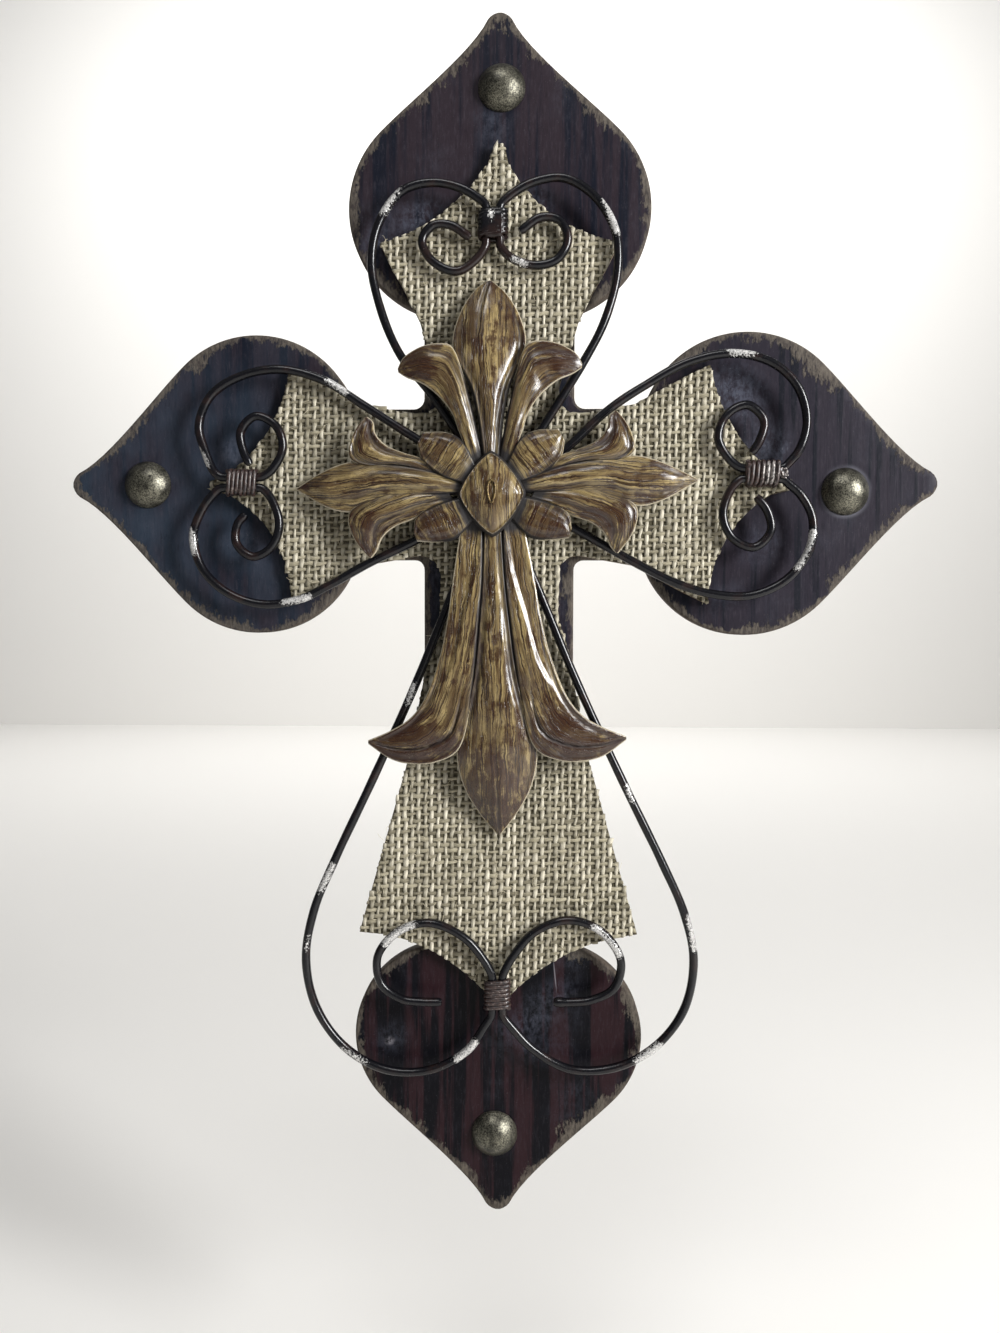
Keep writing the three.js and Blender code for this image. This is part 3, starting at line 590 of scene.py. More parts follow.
# Scroll wires
# Eight lengths of 3.2 mm steel wire, two to an arm, bent by hand into a sweep that ends in
# a small curl. They are painted brown-black, and the paint is scraped to bright metal
# where they were held.
wire_low, wire_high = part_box("scroll_left_upper")
wire_depth = (wire_low.y + wire_high.y) / 2
wire_radius = 1.6 * mm
scroll_routes = {
    "scroll_top_left": [
        (-9, 8.5), (-24.5, 31.5), (-36, 46), (-43, 62), (-46.5, 79.5), (-43.5, 94),
        (-35, 105), (-24.5, 107.8), (-14.5, 106), (-8, 102.5), (-4.9, 99.8), (-4.7, 98.6),
        (-4.7, 86.2), (-4.9, 85), (-8, 80.5), (-15.5, 76), (-24.5, 80), (-28, 87),
        (-24, 92.5), (-17.5, 92.5), (-10.5, 88),
    ],
    "scroll_top_right": [
        (8, 7), (17, 21), (30.5, 42.5), (38.5, 58), (43, 75.5), (42, 90.5), (34.5, 102.5),
        (23.5, 109), (12, 107.5), (4, 103), (0.6, 99.8), (0.3, 98.6), (0.3, 86.2),
        (0.5, 85), (4, 81), (13, 78), (21, 80), (25, 87), (22, 94), (15, 95), (7.5, 90),
    ],
    "scroll_left_upper": [
        (-13.5, 6.5), (-29, 15), (-49, 27.5), (-64.5, 37), (-80.5, 41), (-95, 38.5),
        (-106, 31.5), (-110.5, 20.5), (-108, 10.5), (-105.2, 4), (-102.9, 1.9),
        (-101.8, 1.7), (-88.2, 1.7), (-87.2, 1.9), (-83.5, 4.5), (-79.5, 12.5),
        (-82, 20.5), (-89.5, 24), (-95, 18.5), (-94, 11), (-91.7, 6.3),
    ],
    "scroll_left_lower": [
        (-15.5, -13), (-30.5, -21.5), (-49, -30.5), (-62.5, -38), (-74.5, -43.5),
        (-88, -45), (-101, -40.5), (-110, -31.5), (-113, -19.5), (-109.5, -10),
        (-105.2, -4.4), (-102.9, -2.4), (-101.8, -2.2), (-88.2, -2.2), (-87.2, -2.4),
        (-84, -6), (-81, -15.5), (-84, -24), (-91, -27.5), (-97, -22.5), (-96.5, -15.5),
        (-93.5, -12),
    ],
    "scroll_right_upper": [
        (14, 3), (26.5, 13.5), (39.5, 25.5), (53, 34.5), (69, 43), (85.5, 46),
        (99.5, 42.5), (108.5, 34), (112, 21.5), (109.5, 11.5), (106, 7), (103.9, 4.9),
        (102.8, 4.7), (89.2, 4.7), (88.1, 4.9), (84.5, 7.5), (80, 15.5), (83, 24),
        (90.5, 27.5), (96.5, 22), (95, 14.5), (92, 10),
    ],
    "scroll_right_lower": [
        (13, -10), (26.5, -16.5), (49, -29), (65, -37), (78.5, -41), (92.5, -41.5),
        (105, -36), (113.5, -25), (114.5, -13.5), (110.2, -5), (106, -1.2), (103.9, 0.6),
        (102.8, 0.8), (89.2, 0.8), (88.1, 0.6), (85, -2.6), (82, -12), (85.5, -20.5),
        (93.5, -24), (99.5, -18), (98, -10.5), (94, -5.5),
    ],
    "scroll_bottom_left": [
        (-8, -19.5), (-16.5, -40), (-31, -75.5), (-47, -111), (-60.5, -139.5),
        (-69, -160), (-72, -178.5), (-68, -197), (-57, -212), (-42, -220), (-25.5, -220),
        (-11.5, -212.5), (-4.8, -203), (-2.3, -199), (-2, -197.8), (-2, -184.2),
        (-2.3, -183), (-5, -178), (-12.5, -169.5), (-25.5, -164), (-37.5, -167.5),
        (-45, -177), (-43.5, -187.5), (-36, -193), (-28.5, -194), (-21, -194),
    ],
    "scroll_bottom_right": [
        (6, -19.5), (15, -40), (29.5, -74.5), (47.5, -113), (61, -140.5), (69.5, -160),
        (73, -177.5), (69.5, -196), (59, -210), (44.5, -218), (27.5, -219), (14, -212),
        (5.2, -203), (2.2, -199), (1.9, -197.8), (1.9, -184.2), (2.2, -183), (6, -176),
        (14, -167), (26.5, -162.5), (38.5, -166.5), (46, -177.5), (43.5, -188),
        (35.5, -192.5), (28, -193.5), (21, -193.5),
    ],
}
# Each scrape's two ends, how far it reaches to either side, and how bare it is
scrapes = [
    ((-37, 107), (-43, 97), 2.4, 1), ((38, 103), (43.5, 88), 1.8, 1), ((5, 80), (10, 78), 1.6, 0.8),
    ((-63, 37.5), (-55, 32), 1.6, 0.9), ((-111, 13), (-106.5, 5), 1.2, 0.9),
    ((-114, -17), (-113, -27), 1.8, 1), ((-80, -44), (-69, -42.5), 1.7, 1),
    ((83, 47), (93, 46.5), 2.0, 1), ((115.5, -17), (108, -33), 1.6, 1),
    ((-61, -141), (-67, -153), 1.5, 0.9), ((-33.5, -82), (-31, -74), 1.5, 0.8),
    ((-8, -209), (-15, -216), 2.4, 1), ((-31, -163.5), (-43, -172), 2.2, 1),
    ((71, -159), (73.5, -174), 1.7, 0.9), ((61, -209), (52, -216), 2.2, 1),
    ((35, -164), (46, -176), 2.0, 1), ((47.5, -111), (50, -118), 1.3, 0.7),
    ((-60, -211), (-48, -218), 1.3, 0.7), ((-70.5, -168), (-72, -176), 0.9, 0.6),
]


def through(points, spacing):
    """A smooth line through the points, in even steps of about this spacing."""
    p = np.array(points, dtype=float)
    p = np.vstack([2 * p[0] - p[1], p, 2 * p[-1] - p[-2]])
    line = [p[1]]
    for a, b, c, d in zip(p, p[1:], p[2:], p[3:]):
        ab, bc, cd = (np.linalg.norm(q - r) ** 0.5 for q, r in ((b, a), (c, b), (d, c)))
        out = ((b - a) / ab - (c - a) / (ab + bc) + (c - b) / bc) * bc
        into = ((c - b) / bc - (d - b) / (bc + cd) + (d - c) / cd) * bc
        for t in np.linspace(0, 1, 17)[1:]:
            line.append(b + out * t + (3 * (c - b) - 2 * out - into) * t**2
                        + (2 * (b - c) + out + into) * t**3)
    line = np.array(line)
    run = np.concatenate([[0], np.cumsum(np.linalg.norm(np.diff(line, axis=0), axis=1))])
    even = np.linspace(0, run[-1], max(3, round(run[-1] / spacing)) + 1)
    return np.stack([np.interp(even, run, line[:, i]) for i in (0, 1)], -1)


def places_of(piece):
    """Where a piece's vertices are, in metres."""
    place = np.empty(len(piece.data.vertices) * 3)
    piece.data.vertices.foreach_get("co", place)
    return place.reshape(-1, 3)


def from_crossing(piece):
    """Where a piece's vertices are on the front, in millimetres from the crossing, and their y."""
    place = places_of(piece)
    return np.stack([place[:, 0], place[:, 2] - crossing], -1) / mm, place[:, 1]


wire_paint = Finish("wire_paint", Specular_IOR_Level=0.38)
ragged = wire_paint.grain((0.7, 0.7, 0.7), 2.4, 5, rough=0.7)
bare = wire_paint.plus(wire_paint.kept("scraped"), wire_paint.times(
    wire_paint.math("SUBTRACT", ragged, 0.5), 2.8))
bare = wire_paint.step(bare, 0.52, 0.6)
rust = wire_paint.plus(wire_paint.grain((6, 6, 6), 6.3, 4), wire_paint.times(
    wire_paint.near(-3, 83, 30, 14), 0.35))
rust = wire_paint.step(rust, 0.5, 0.7)
coat = wire_paint.mix(wire_paint.times(rust, 0.6), paint("0b0b0f"), paint("281b18"))
flakes = wire_paint.step(wire_paint.grain((0.6, 0.6, 0.6), 7.2, 5, rough=0.75), 0.34, 0.62)
steel = wire_paint.mix(flakes, paint("5a5a5c"), paint("e2e0dc"))
wire_paint.set(
    Base_Color=wire_paint.mix(bare, coat, steel),
    Roughness=wire_paint.math("MULTIPLY_ADD", ragged, 0.18, 0.14),
    Metallic=wire_paint.times(bare, 0.35),
    Normal=wire_paint.relief(bare, -0.12, wire_paint.relief(
        wire_paint.grain((2.4, 2.4, 2.4), 9.9, 3), 0.08)),
)

for name, route in scroll_routes.items():
    flat_line = through(route, 1.1)
    line = np.column_stack([
        flat_line[:, 0] * mm, np.full(len(flat_line), wire_depth), crossing + flat_line[:, 1] * mm])
    swell = 1 + 0.02 * np.sin(np.arange(len(line)) * 0.37)
    if name == "scroll_bottom_right":
        swell[-4:-1] = 1.16
    swell[[0, -1]] = 0.75
    wire = tube(name + "_wire", [line], wire_radius, 5, swell)
    spots, _ = from_crossing(wire)
    scraped = np.zeros(len(spots))
    for start, end, reach, share in scrapes:
        a, run = np.array(start), np.array(end, dtype=float) - np.array(start)
        t = np.clip(((spots - a) @ run) / (run @ run), 0.12, 0.88)
        gone = np.linalg.norm(spots - a - t[:, None] * run, axis=1)
        scraped = np.maximum(scraped, share * np.clip(1.25 - gone / reach / 1.25, 0, 1))
    store(wire, "scraped", scraped)
    dress(wire, wire_paint, "black_wire", name)

# Wound collars
# Each pair of wires is bound with close turns of thinner soft wire, drawn tight. The top
# one is flooded with solder and painted as the wires are, the right one has a bead of it at
# its outer end, and the others show their turns, rusty brown.
# Each collar: its middle, its length, how far apart the wires are, if it lies sideways, turns
collar_places = {
    "collar_top": ((-2.2, 92.4), 11.4, 2.5, False, 6),
    "collar_left": ((-95, -0.25), 13, 1.95, True, 7),
    "collar_right": ((96, 2.75), 13, 1.95, True, 6),
    "collar_bottom": ((-0.05, -191), 13, 1.95, False, 7),
}
wound_radius = 0.84 * mm
rusty = Finish("rusty_winding", Specular_IOR_Level=0.5, Coat_Weight=0.2, Coat_Roughness=0.2)
crust = rusty.grain((0.9, 0.9, 0.9), 4.2, 5, rough=0.7)
bright = rusty.plus(rusty.kept("scraped"), rusty.times(rusty.math("SUBTRACT", crust, 0.5), 1.7))
bright = rusty.step(bright, 0.5, 0.62)
shade = rusty.mix(rusty.step(crust, 0.38, 0.62), paint("181315"), paint("3d2b25"))
rusty.set(
    Base_Color=rusty.mix(bright, shade, paint("8d8783")),
    Roughness=rusty.math("MULTIPLY_ADD", crust, 0.35, 0.2),
    Metallic=rusty.times(bright, 0.6),
    Normal=rusty.relief(crust, 0.16),
)


def solder(name, place, size, lumps):
    """A bead of solder: a ball pressed to its size and made uneven."""
    bpy.ops.object.select_all(action="DESELECT")
    bpy.ops.mesh.primitive_ico_sphere_add(subdivisions=5, radius=1)
    bead = name_piece(name)
    for vertex in bead.data.vertices:
        co = vertex.co
        squared = Vector([math.copysign(abs(c) ** 0.62, c) for c in co])
        rough = 1 + lumps * noise.noise(co * 2.1 + Vector(place) * 400)
        vertex.co = Vector(place) + Vector([c * s * mm * rough for c, s in zip(squared, size)])
    smooth(bead, 60)
    return bead


def join(pieces):
    """Makes the pieces one mesh, that of the first."""
    pick(pieces[0])
    for piece in pieces:
        piece.select_set(True)
    bpy.ops.object.join()
    return pieces[0]


for name, ((x, z), length, spread, sideways, turns) in collar_places.items():
    steps = turns * 40
    angle = np.linspace(0, 2 * math.pi * turns, steps + 1)
    ring = wire_radius + wound_radius * 0.86
    tight = 1 + 0.03 * np.sin(angle * 0.37 + x)
    lean = (np.tanh(np.cos(angle) * 3) * spread * mm + ring * np.cos(angle)) * tight
    slant = 0.35 * mm * np.cos(angle + 0.6)
    run = np.linspace(-0.5, 0.5, steps + 1) * (length * mm - 2.6 * wound_radius) + slant
    along_x, along_z = (run, lean) if sideways else (lean, run)
    line = np.column_stack([
        x * mm + along_x, wire_depth + ring * np.sin(angle), crossing + z * mm + along_z])
    pieces = [tube(name + "_winding", [line], wound_radius, 3)]
    if name == "collar_top":
        place = (x * mm, wire_depth - 2.15 * mm, crossing + z * mm)
        pieces.append(solder("top_solder", place, (4.1, 1.0, 5.0), 0.14))
        place = (x * mm, wire_depth, crossing + (z + 5.2) * mm)
        pieces.append(solder("top_solder_bridge", place, (4.6, 1.7, 0.8), 0.3))
    if name == "collar_right":
        pieces.append(solder("right_solder", ((x + 7.4) * mm, wire_depth - 0.9 * mm, crossing + z * mm),
                             (1.6, 1.4, 1.9), 0.35))
        pieces.append(solder("right_solder_band", ((x - 4.9) * mm, wire_depth - 0.5 * mm,
                                                   crossing + z * mm), (1.5, 2.1, 4.3), 0.1))
    wound = join(pieces)
    spots, depth = from_crossing(wound)
    front = np.clip((wire_depth - depth) / (2.2 * mm), 0, 1)
    if name == "collar_top":
        scraped = np.clip(1.3 - np.linalg.norm((spots - (-2.8, 95.2)) / (1.3, 2.6), axis=1), 0, 1)
    elif name == "collar_right":
        scraped = front**3 * np.clip(1.15 - abs(spots[:, 0] - 98.5) / 6, 0, 1) * 0.6
        scraped = np.maximum(scraped, 0.5 * (spots[:, 0] > 102.6))
    else:
        scraped = front**3 * 0.36
    store(wound, "scraped", scraped)
    dress(wound, wire_paint if name == "collar_top" else rusty, "black_wire", name)

# Leaf ornament
# A stamped sheet-metal cross of leaves: a spear and two curling leaves up, the same to each
# side, a long spear and two swept leaves down, and four small petals round a cushioned
# diamond. It is painted ochre, grained by hand in umber, and varnished.
leaf_centre = (-2.2 * mm, crossing - 5.5 * mm)
leaf_turn = math.radians(1.2)
sheet_thickness, leaf_grid = 0.9 * mm, (0.55, 0.76)
# Each leaf: its two edges from root to tip, its crest's and its edges' heights, how far over
# the crest lies, how sharp and steep it is, where each edge hangs free, its rolled lips, its
# channels, any facet pressed beside the crest, how much further the right one reaches, if its
# end is painted dark or its grain runs across, and 1 for a right leaf and -1 for a left one
leaves = {
    "top_spear": {
        "first": [(-3, 10), (-4.9, 28), (-7, 38), (-13.3, 54), (-10.2, 66.5), (-4.6, 75), (-0.4, 78)],
        "second": [(3, 10), (4.9, 28), (7, 38), (13.3, 54), (11.2, 65), (6.4, 73.4), (1.8, 77.8)],
        "crest": [14.2, 15, 15.2, 14.6, 12, 7.6],
        "edges": ([13.2, 13.5, 13.2, 11.6, 9.2, 6.8], [12.2, 12, 11.5, 9.3, 7.2, 6]),
        "crest_at": [0.5, 0.5, 0.48, 0.44, 0.42, 0.45], "sharp": [1.6, 1.6, 1.6, 1.4, 1.2],
        "free": ([0, 0, 0.2, 1, 1, 1], [0, 0, 0.2, 1, 1, 1]),
        "lips": ([0.3, 0.4, 0.4, 0.2, 0, 0], [0.5, 0.8, 1.0, 1.0, 0.1, 0]), "steep": 0.85,
        "channels": [([0.40, 0.38, 0.36, 0.33, 0.34, 0.40], [0, 0, 0, 0.2, 0.5, 0.6], 0.7)],
        "mirrors": (1,),
    },
    "top_leaf": {
        "first": [(2, 12), (4, 20.3), (7.4, 34.8), (12.2, 51.2), (14.5, 54), (20.3, 54.4),
                  (26.2, 53), (31.5, 49.8), (33.4, 46.5)],
        "second": [(7, 10), (11.3, 22.2), (14, 29.5), (18.8, 35.8), (24.2, 40.2),
                   (30, 42.8), (33.2, 45)],
        "crest": [13.4, 14.6, 15, 14.8, 13.8, 10.8],
        "edges": ([12, 11.4, 10.8, 11.6, 11.4, 10.4], [12, 11.5, 10.8, 10.4, 10.2, 10.3]),
        "crest_at": [0.45, 0.5, 0.52, 0.5, 0.42, 0.5], "sharp": [2.4, 2.4, 2.2, 2, 1.6],
        "free": ([0, 0, 0.3, 1, 1, 1], [0.6, 1, 1, 1, 1, 1]),
        "lips": ([0, 0, 0.1, 0.25, 0.2, 0], [0.2, 0.3, 0.3, 0.25, 0.2, 0]),
        "channels": [([0.25, 0.25, 0.25, 0.24, 0.24, 0.3], [0.5, 0.4, 0.3, 0.4, 0.3, 0], 1.2)],
        "steep": 0.38,
        "mirrors": (1, -1),
    },
    "small_upper": {
        "first": [(4, 9), (10.5, 19.8), (16.3, 22.6), (24, 22.9)],
        "second": [(8, 3), (18.2, 6.7), (25.2, 13), (26.6, 18.5)],
        "crest": [14.6, 15.7, 15.6, 14.2],
        "edges": ([12.4, 12, 11.4, 11], [12.4, 12, 11.4, 11]),
        "crest_at": [0.5, 0.45, 0.45, 0.5], "sharp": [3, 3],
        "free": ([0, 0.1, 0.6, 1], [0, 0.1, 0.6, 1]), "steep": 0.4,
        "lips": ([0, 0.3, 0.5, 0.3], [0, 0.3, 0.5, 0.3]),
        "channels": [([0.3, 0.3, 0.3], [0, 0.35, 0.1], 0.7), ([0.68, 0.68, 0.68], [0, 0.3, 0.1], 0.6)],
        "mirrors": (1, -1), "cross_grained": True,
    },
    "side_spear": {
        "first": [(9, 5), (26.6, 10.6), (41, 12.5), (52, 13), (61.5, 10.1), (71.9, 4.7)],
        "second": [(9, 0.5), (29, -0.5), (40.2, -1), (51, -5), (59, -3.7), (71.9, 3.7)],
        "crest": [13.4, 14.8, 15, 14, 12.2, 8.4],
        "edges": ([12.4, 12.4, 11.2, 9.8, 8.8, 7.6], [12.4, 12.2, 11.2, 9.8, 8.8, 7.6]),
        "crest_at": [0.5, 0.45, 0.4, 0.4, 0.42, 0.5], "sharp": [2.4, 2.4, 2.2, 1.7, 1.3],
        "free": ([0, 0, 0.2, 1, 1, 1], [0, 0, 0.2, 1, 1, 1]),
        "lips": ([0, 0, 0.2, 0.2, 0.3, 0], [0, 0, 0.2, 0.2, 0.3, 0]),
        "channels": [([0.28, 0.26, 0.22, 0.2], [0.35, 0.4, 0.15, 0], 0.9),
                     ([0.7, 0.72, 0.75, 0.8], [0.45, 0.5, 0.4, 0], 1.0)],
        "steep": 0.5, "right_reach": 3,
        "mirrors": (1, -1),
    },
    "side_upper": {
        "first": [(18, 6.5), (34, 11), (47, 11.5), (51.6, 14.5), (51.1, 20.3), (48.5, 25.9),
                  (45.9, 29.2)],
        "second": [(17, 9.6), (25.2, 13.7), (32, 15.9), (38.2, 18.8), (41.9, 23.2),
                   (42.6, 27.4), (44.7, 29.4)],
        "crest": [13.2, 14.2, 14.4, 13.6, 11],
        "edges": ([12.8, 12.2, 11, 10.8, 10.6], [12.2, 11.6, 11, 10.8, 10.5]),
        "crest_at": [0.5, 0.5, 0.55, 0.55, 0.5], "sharp": [2.2, 2.2, 2, 1.6],
        "free": ([0, 0, 0.5, 1, 1], [0.5, 1, 1, 1, 1]),
        "lips": ([0, 0.1, 0.5, 0.6, 0.2], [0.3, 0.4, 0.5, 0.5, 0.2]),
        "channels": [([0.72, 0.74, 0.78, 0.75], [0.2, 0.35, 0.5, 0.2], 1.0)], "steep": 0.5,
        "mirrors": (1, -1),
    },
    "side_lower": {
        "first": [(16, 2), (30, 2.5), (44, -0.5), (51.8, -4.9), (52.5, -8.8), (50.3, -15.5),
                  (45.4, -21.9)],
        "second": [(14, -2), (21.5, -4.2), (28.6, -8.2), (35.3, -10.7), (40.1, -14.6),
                   (42.6, -19.6), (44.4, -21.7)],
        "crest": [13.2, 14.4, 14.8, 14, 11],
        "edges": ([12.8, 12.2, 11, 10.6, 10.4], [12, 11.2, 10.6, 10.4, 10.3]),
        "crest_at": [0.5, 0.5, 0.45, 0.42, 0.5], "sharp": [2.2, 2.2, 2, 1.6],
        "free": ([0, 0, 0.5, 1, 1], [0.5, 1, 1, 1, 1]),
        "lips": ([0, 0, 0.2, 0.3, 0.2], [0.3, 0.4, 0.4, 0.3, 0.2]),
        "channels": [([0.7, 0.7, 0.72, 0.7], [0.3, 0.5, 0.5, 0], 1.0),
                     ([0.3, 0.3, 0.28, 0.3], [0.35, 0.35, 0.15, 0], 0.8)],
        "steep": 0.5,
        "mirrors": (1, -1),
    },
    "small_lower": {
        "first": [(9, 0), (19.7, -2.9), (27.6, -7.6), (28.6, -12.5)],
        "second": [(6, -9), (13.5, -15.8), (20.2, -16.8), (27.4, -16.3)],
        "crest": [14.6, 15.7, 15.6, 14.2],
        "edges": ([12.4, 12, 11.6, 11.2], [12.4, 11.6, 11.2, 11]),
        "crest_at": [0.5, 0.5, 0.5, 0.5], "sharp": [3, 3],
        "free": ([0, 0.1, 0.6, 1], [0, 0.1, 0.6, 1]), "steep": 0.4,
        "lips": ([0, 0.3, 0.5, 0.3], [0, 0.3, 0.5, 0.3]),
        "channels": [([0.35, 0.35, 0.35], [0, 0.4, 0.1], 0.7), ([0.66, 0.66, 0.66], [0, 0.3, 0.1], 0.6)],
        "mirrors": (1, -1), "cross_grained": True,
    },
    "low_leaf": {
        "first": [(3, -9), (3.6, -30), (5.1, -44.6), (8.9, -73.6), (14.2, -92.5),
                  (22.8, -96.9), (31, -97.4), (38.7, -95.7), (47.4, -90)],
        "second": [(11, -9), (14.2, -27.2), (17, -44.6), (20.1, -58.2), (26.1, -73.7),
                   (31.5, -80.5), (38.8, -85), (47.4, -88.6)],
        "crest": [13.8, 15, 15.4, 15.4, 15, 14.2, 11],
        "edges": ([12.6, 12.8, 12.6, 11.8, 9.8, 9, 10.2], [12.4, 12.6, 12.2, 11.6, 10.8, 10.4, 10.3]),
        "crest_at": [0.15, 0.2, 0.36, 0.52, 0.56, 0.5, 0.5], "sharp": [4, 4, 4, 4, 3, 1.8, 1.2],
        "free": ([0, 0, 0, 0.2, 1, 1, 1], [1, 1, 1, 1, 1, 1, 1]), "steep": 0.2,
        "lips": ([0, 0, 0, 0, 0.2, 0.2, 0], [0, 0, 0, 0.1, 0.4, 0.4, 0]),
        "facet": ([0.2, 0.34, 0.56, 0.66, 0.86, 1, 1],
                  [0.4, 0.7, 0.9, 1, 1, 1, 1, 0.9, 0.1, 0, 0, 0, 0], 2.0),
        "channels": [([0.3, 0.3, 0.3, 0.28, 0.26, 0.36, 0.5], [0, 0, 0, 0, 0.9, 0.9, 0.3], 0.5)],
        "dark_end": True,
        "mirrors": (1, -1),
    },
    "low_spear": {
        "first": [(-3.6, -9), (-4.6, -30), (-5.9, -44.6), (-8, -64), (-11.1, -78.5),
                  (-14.8, -94.5), (-12.3, -107), (-7, -116.8), (-0.8, -125)],
        "second": [(3.6, -9), (4.6, -30), (5.9, -44.6), (8, -64), (11.1, -78.5),
                   (14.8, -94.5), (12.3, -107), (7, -116.8), (0.8, -125)],
        "crest": [13.8, 15.2, 15.8, 16.2, 16.2, 15.6, 13.2, 7.6],
        "edges": ([12.4, 12.8, 12.4, 12, 11, 9.4, 6.8, 5.8], [12.4, 12.8, 12.4, 12, 11, 9.4, 6.8, 5.8]),
        "crest_at": [0.5, 0.5, 0.52, 0.54, 0.54, 0.54, 0.5, 0.5],
        "sharp": [2.4, 2.6, 2.8, 2.6, 2.2, 1.6, 1.3, 1.1],
        "free": ([0, 0, 0, 0.3, 0.8, 1, 1, 1], [0, 0, 0, 0.3, 0.8, 1, 1, 1]),
        "lips": ([0.3, 0.4, 0.5, 0.6, 0.6, 0.1, 0, 0], [0.3, 0.4, 0.5, 0.7, 0.8, 0.3, 0, 0]),
        "steep": 0.6,
        "channels": [([0.48, 0.48, 0.49, 0.5], [0, 0, 0.05, 0.8], 0.7)],
        "mirrors": (1,),
    },
}


def along(values, u):
    return np.interp(u, np.linspace(0, 1, len(values)), values)


def hump(distance, width):
    return np.exp(-((distance / width) ** 2))


def set_on_cross(piece, x, height, z):
    """Moves vertices to x, z from the ornament's middle and height off the board."""
    cos, sin = math.cos(leaf_turn), math.sin(leaf_turn)
    placed = np.column_stack([
        leaf_centre[0] + (x * cos - z * sin) * mm,
        board_front - height * mm,
        leaf_centre[1] + (x * sin + z * cos) * mm,
    ])
    piece.data.vertices.foreach_set("co", placed.ravel())
    piece.data.update()


def stamp_leaf(name, shape, mirror):
    """A flat grid drawn out between the leaf's edges, raised in relief, and given its sheet."""
    edges = [through(shape[key], 0.5) for key in ("first", "second")]
    shortest = min(len(e) for e in edges)
    middle = [e[np.linspace(0, len(e) - 1, shortest).round().astype(int)] for e in edges]
    length = np.linalg.norm(np.diff((middle[0] + middle[1]) / 2, axis=0), axis=1).sum()
    widest = np.linalg.norm(middle[0] - middle[1], axis=1).max()
    bpy.ops.object.select_all(action="DESELECT")
    bpy.ops.mesh.primitive_grid_add(
        x_subdivisions=round(widest / leaf_grid[0]), y_subdivisions=round(length / leaf_grid[1]), size=1)
    leaf = name_piece(name)
    flat = places_of(leaf) + 0.5
    u, even = flat[:, 1], flat[:, 0]
    v = 0.55 * (0.5 - 0.5 * np.cos(even * math.pi)) + 0.45 * even
    ends = [np.stack([along(e[:, i], u) for i in (0, 1)], -1) for e in edges]
    place = ends[0] * (1 - v[:, None]) + ends[1] * v[:, None]
    wide = np.linalg.norm(ends[1] - ends[0], axis=1)
    inward = (v * wide, (1 - v) * wide)
    edge = along(shape["edges"][0], u) * (1 - v) + along(shape["edges"][1], u) * v
    crest = along(shape["crest"], u)
    crest_at = along(shape["crest_at"], u)
    off = np.where(v < crest_at, (crest_at - v) / crest_at, (v - crest_at) / (1 - crest_at))
    height = crest - shape["steep"] * (crest - edge) * off ** along(shape["sharp"], u)
    free = [along(f, u) for f in shape["free"]]
    room = np.clip(wide / 6, 0.2, 1)
    # Painted shade: where the leaf runs under its neighbours, along its joined edges, inside its rolled
    # lips and in its channels
    seam_shade = hump(u * length, 4)
    for hangs, lip, gone in zip(free, shape["lips"], inward):
        rolled = along(lip, u) * room
        height += rolled * (hump(gone - 0.75, 0.55) - 0.7 * hump(gone - 2.3, 0.9))
        height -= (1 - hangs) * 1.5 * hump(gone, 0.6) + hangs * 0.15 * hump(gone, 0.3)
        shade = (0.25 * along(lip, u) + 0.1) * hump(gone - 2.0, 0.7)
        seam_shade = np.maximum(seam_shade, (1 - hangs) * hump(gone, 0.95) + shade)
    for at, depths, width in shape["channels"]:
        cut = hump((v - along(at, u)) * wide, width)
        height -= along(depths, u) * room * cut
        seam_shade = np.maximum(seam_shade, 0.4 * np.minimum(along(depths, u), 1) * cut)
    if "facet" in shape:
        at, drops, width = shape["facet"]
        height -= along(drops, u) * np.clip((v - along(at, u)) * wide / width + 0.5, 0, 1)
    x, z = place[:, 0] * mirror, place[:, 1]
    if mirror > 0:
        x = x + shape.get("right_reach", 0) * u**3
    uneven = [noise.noise(Vector((a * 0.11 + 7, b * 0.11, 3.0))) for a, b in zip(x, z)]
    knobbly = [noise.noise(Vector((a * 0.3, b * 0.3, 9.0))) for a, b in zip(x, z)]
    height += np.array(uneven) * 0.5 + np.array(knobbly) * 0.15
    set_on_cross(leaf, x, height, z)
    if sum(face.normal.y for face in leaf.data.polygons) > 0:
        leaf.data.flip_normals()
    store(leaf, "worn", np.maximum(free[0] * hump(inward[0], 0.5), free[1] * hump(inward[1], 0.5)))
    store(leaf, "seam_shade", seam_shade)
    tip = u**1.6
    if shape.get("dark_end"):
        tip += np.clip((u - 0.6) * 8, 0, 1) * np.clip((0.42 - v) * 8, 0, 1)
    store(leaf, "tip", tip)
    run = np.column_stack([(v - 0.5) * wide, u * length])
    if shape.get("cross_grained"):
        run = run[:, ::-1]
    leaf.data.uv_layers[0].name = "Grain"
    set_uv(leaf, "Grain", run + len(stamped) * 37.0)
    sheet = leaf.modifiers.new("sheet", "SOLIDIFY")
    sheet.thickness, sheet.offset = sheet_thickness, -1
    pick(leaf)
    bpy.ops.object.modifier_apply(modifier="sheet")
    return leaf


def inset_disc(name, radius, around, rings):
    """A round disc facing up, ringed by insets from its rim to near its middle."""
    bpy.ops.object.select_all(action="DESELECT")
    bpy.ops.mesh.primitive_circle_add(vertices=around, radius=radius, fill_type="NGON")
    disc = name_piece(name)
    bpy.ops.object.mode_set(mode="EDIT")
    bpy.ops.mesh.select_all(action="SELECT")
    for _ in range(rings):
        bpy.ops.mesh.inset(thickness=radius / (rings + 1.4))
    bpy.ops.object.mode_set(mode="OBJECT")
    return disc


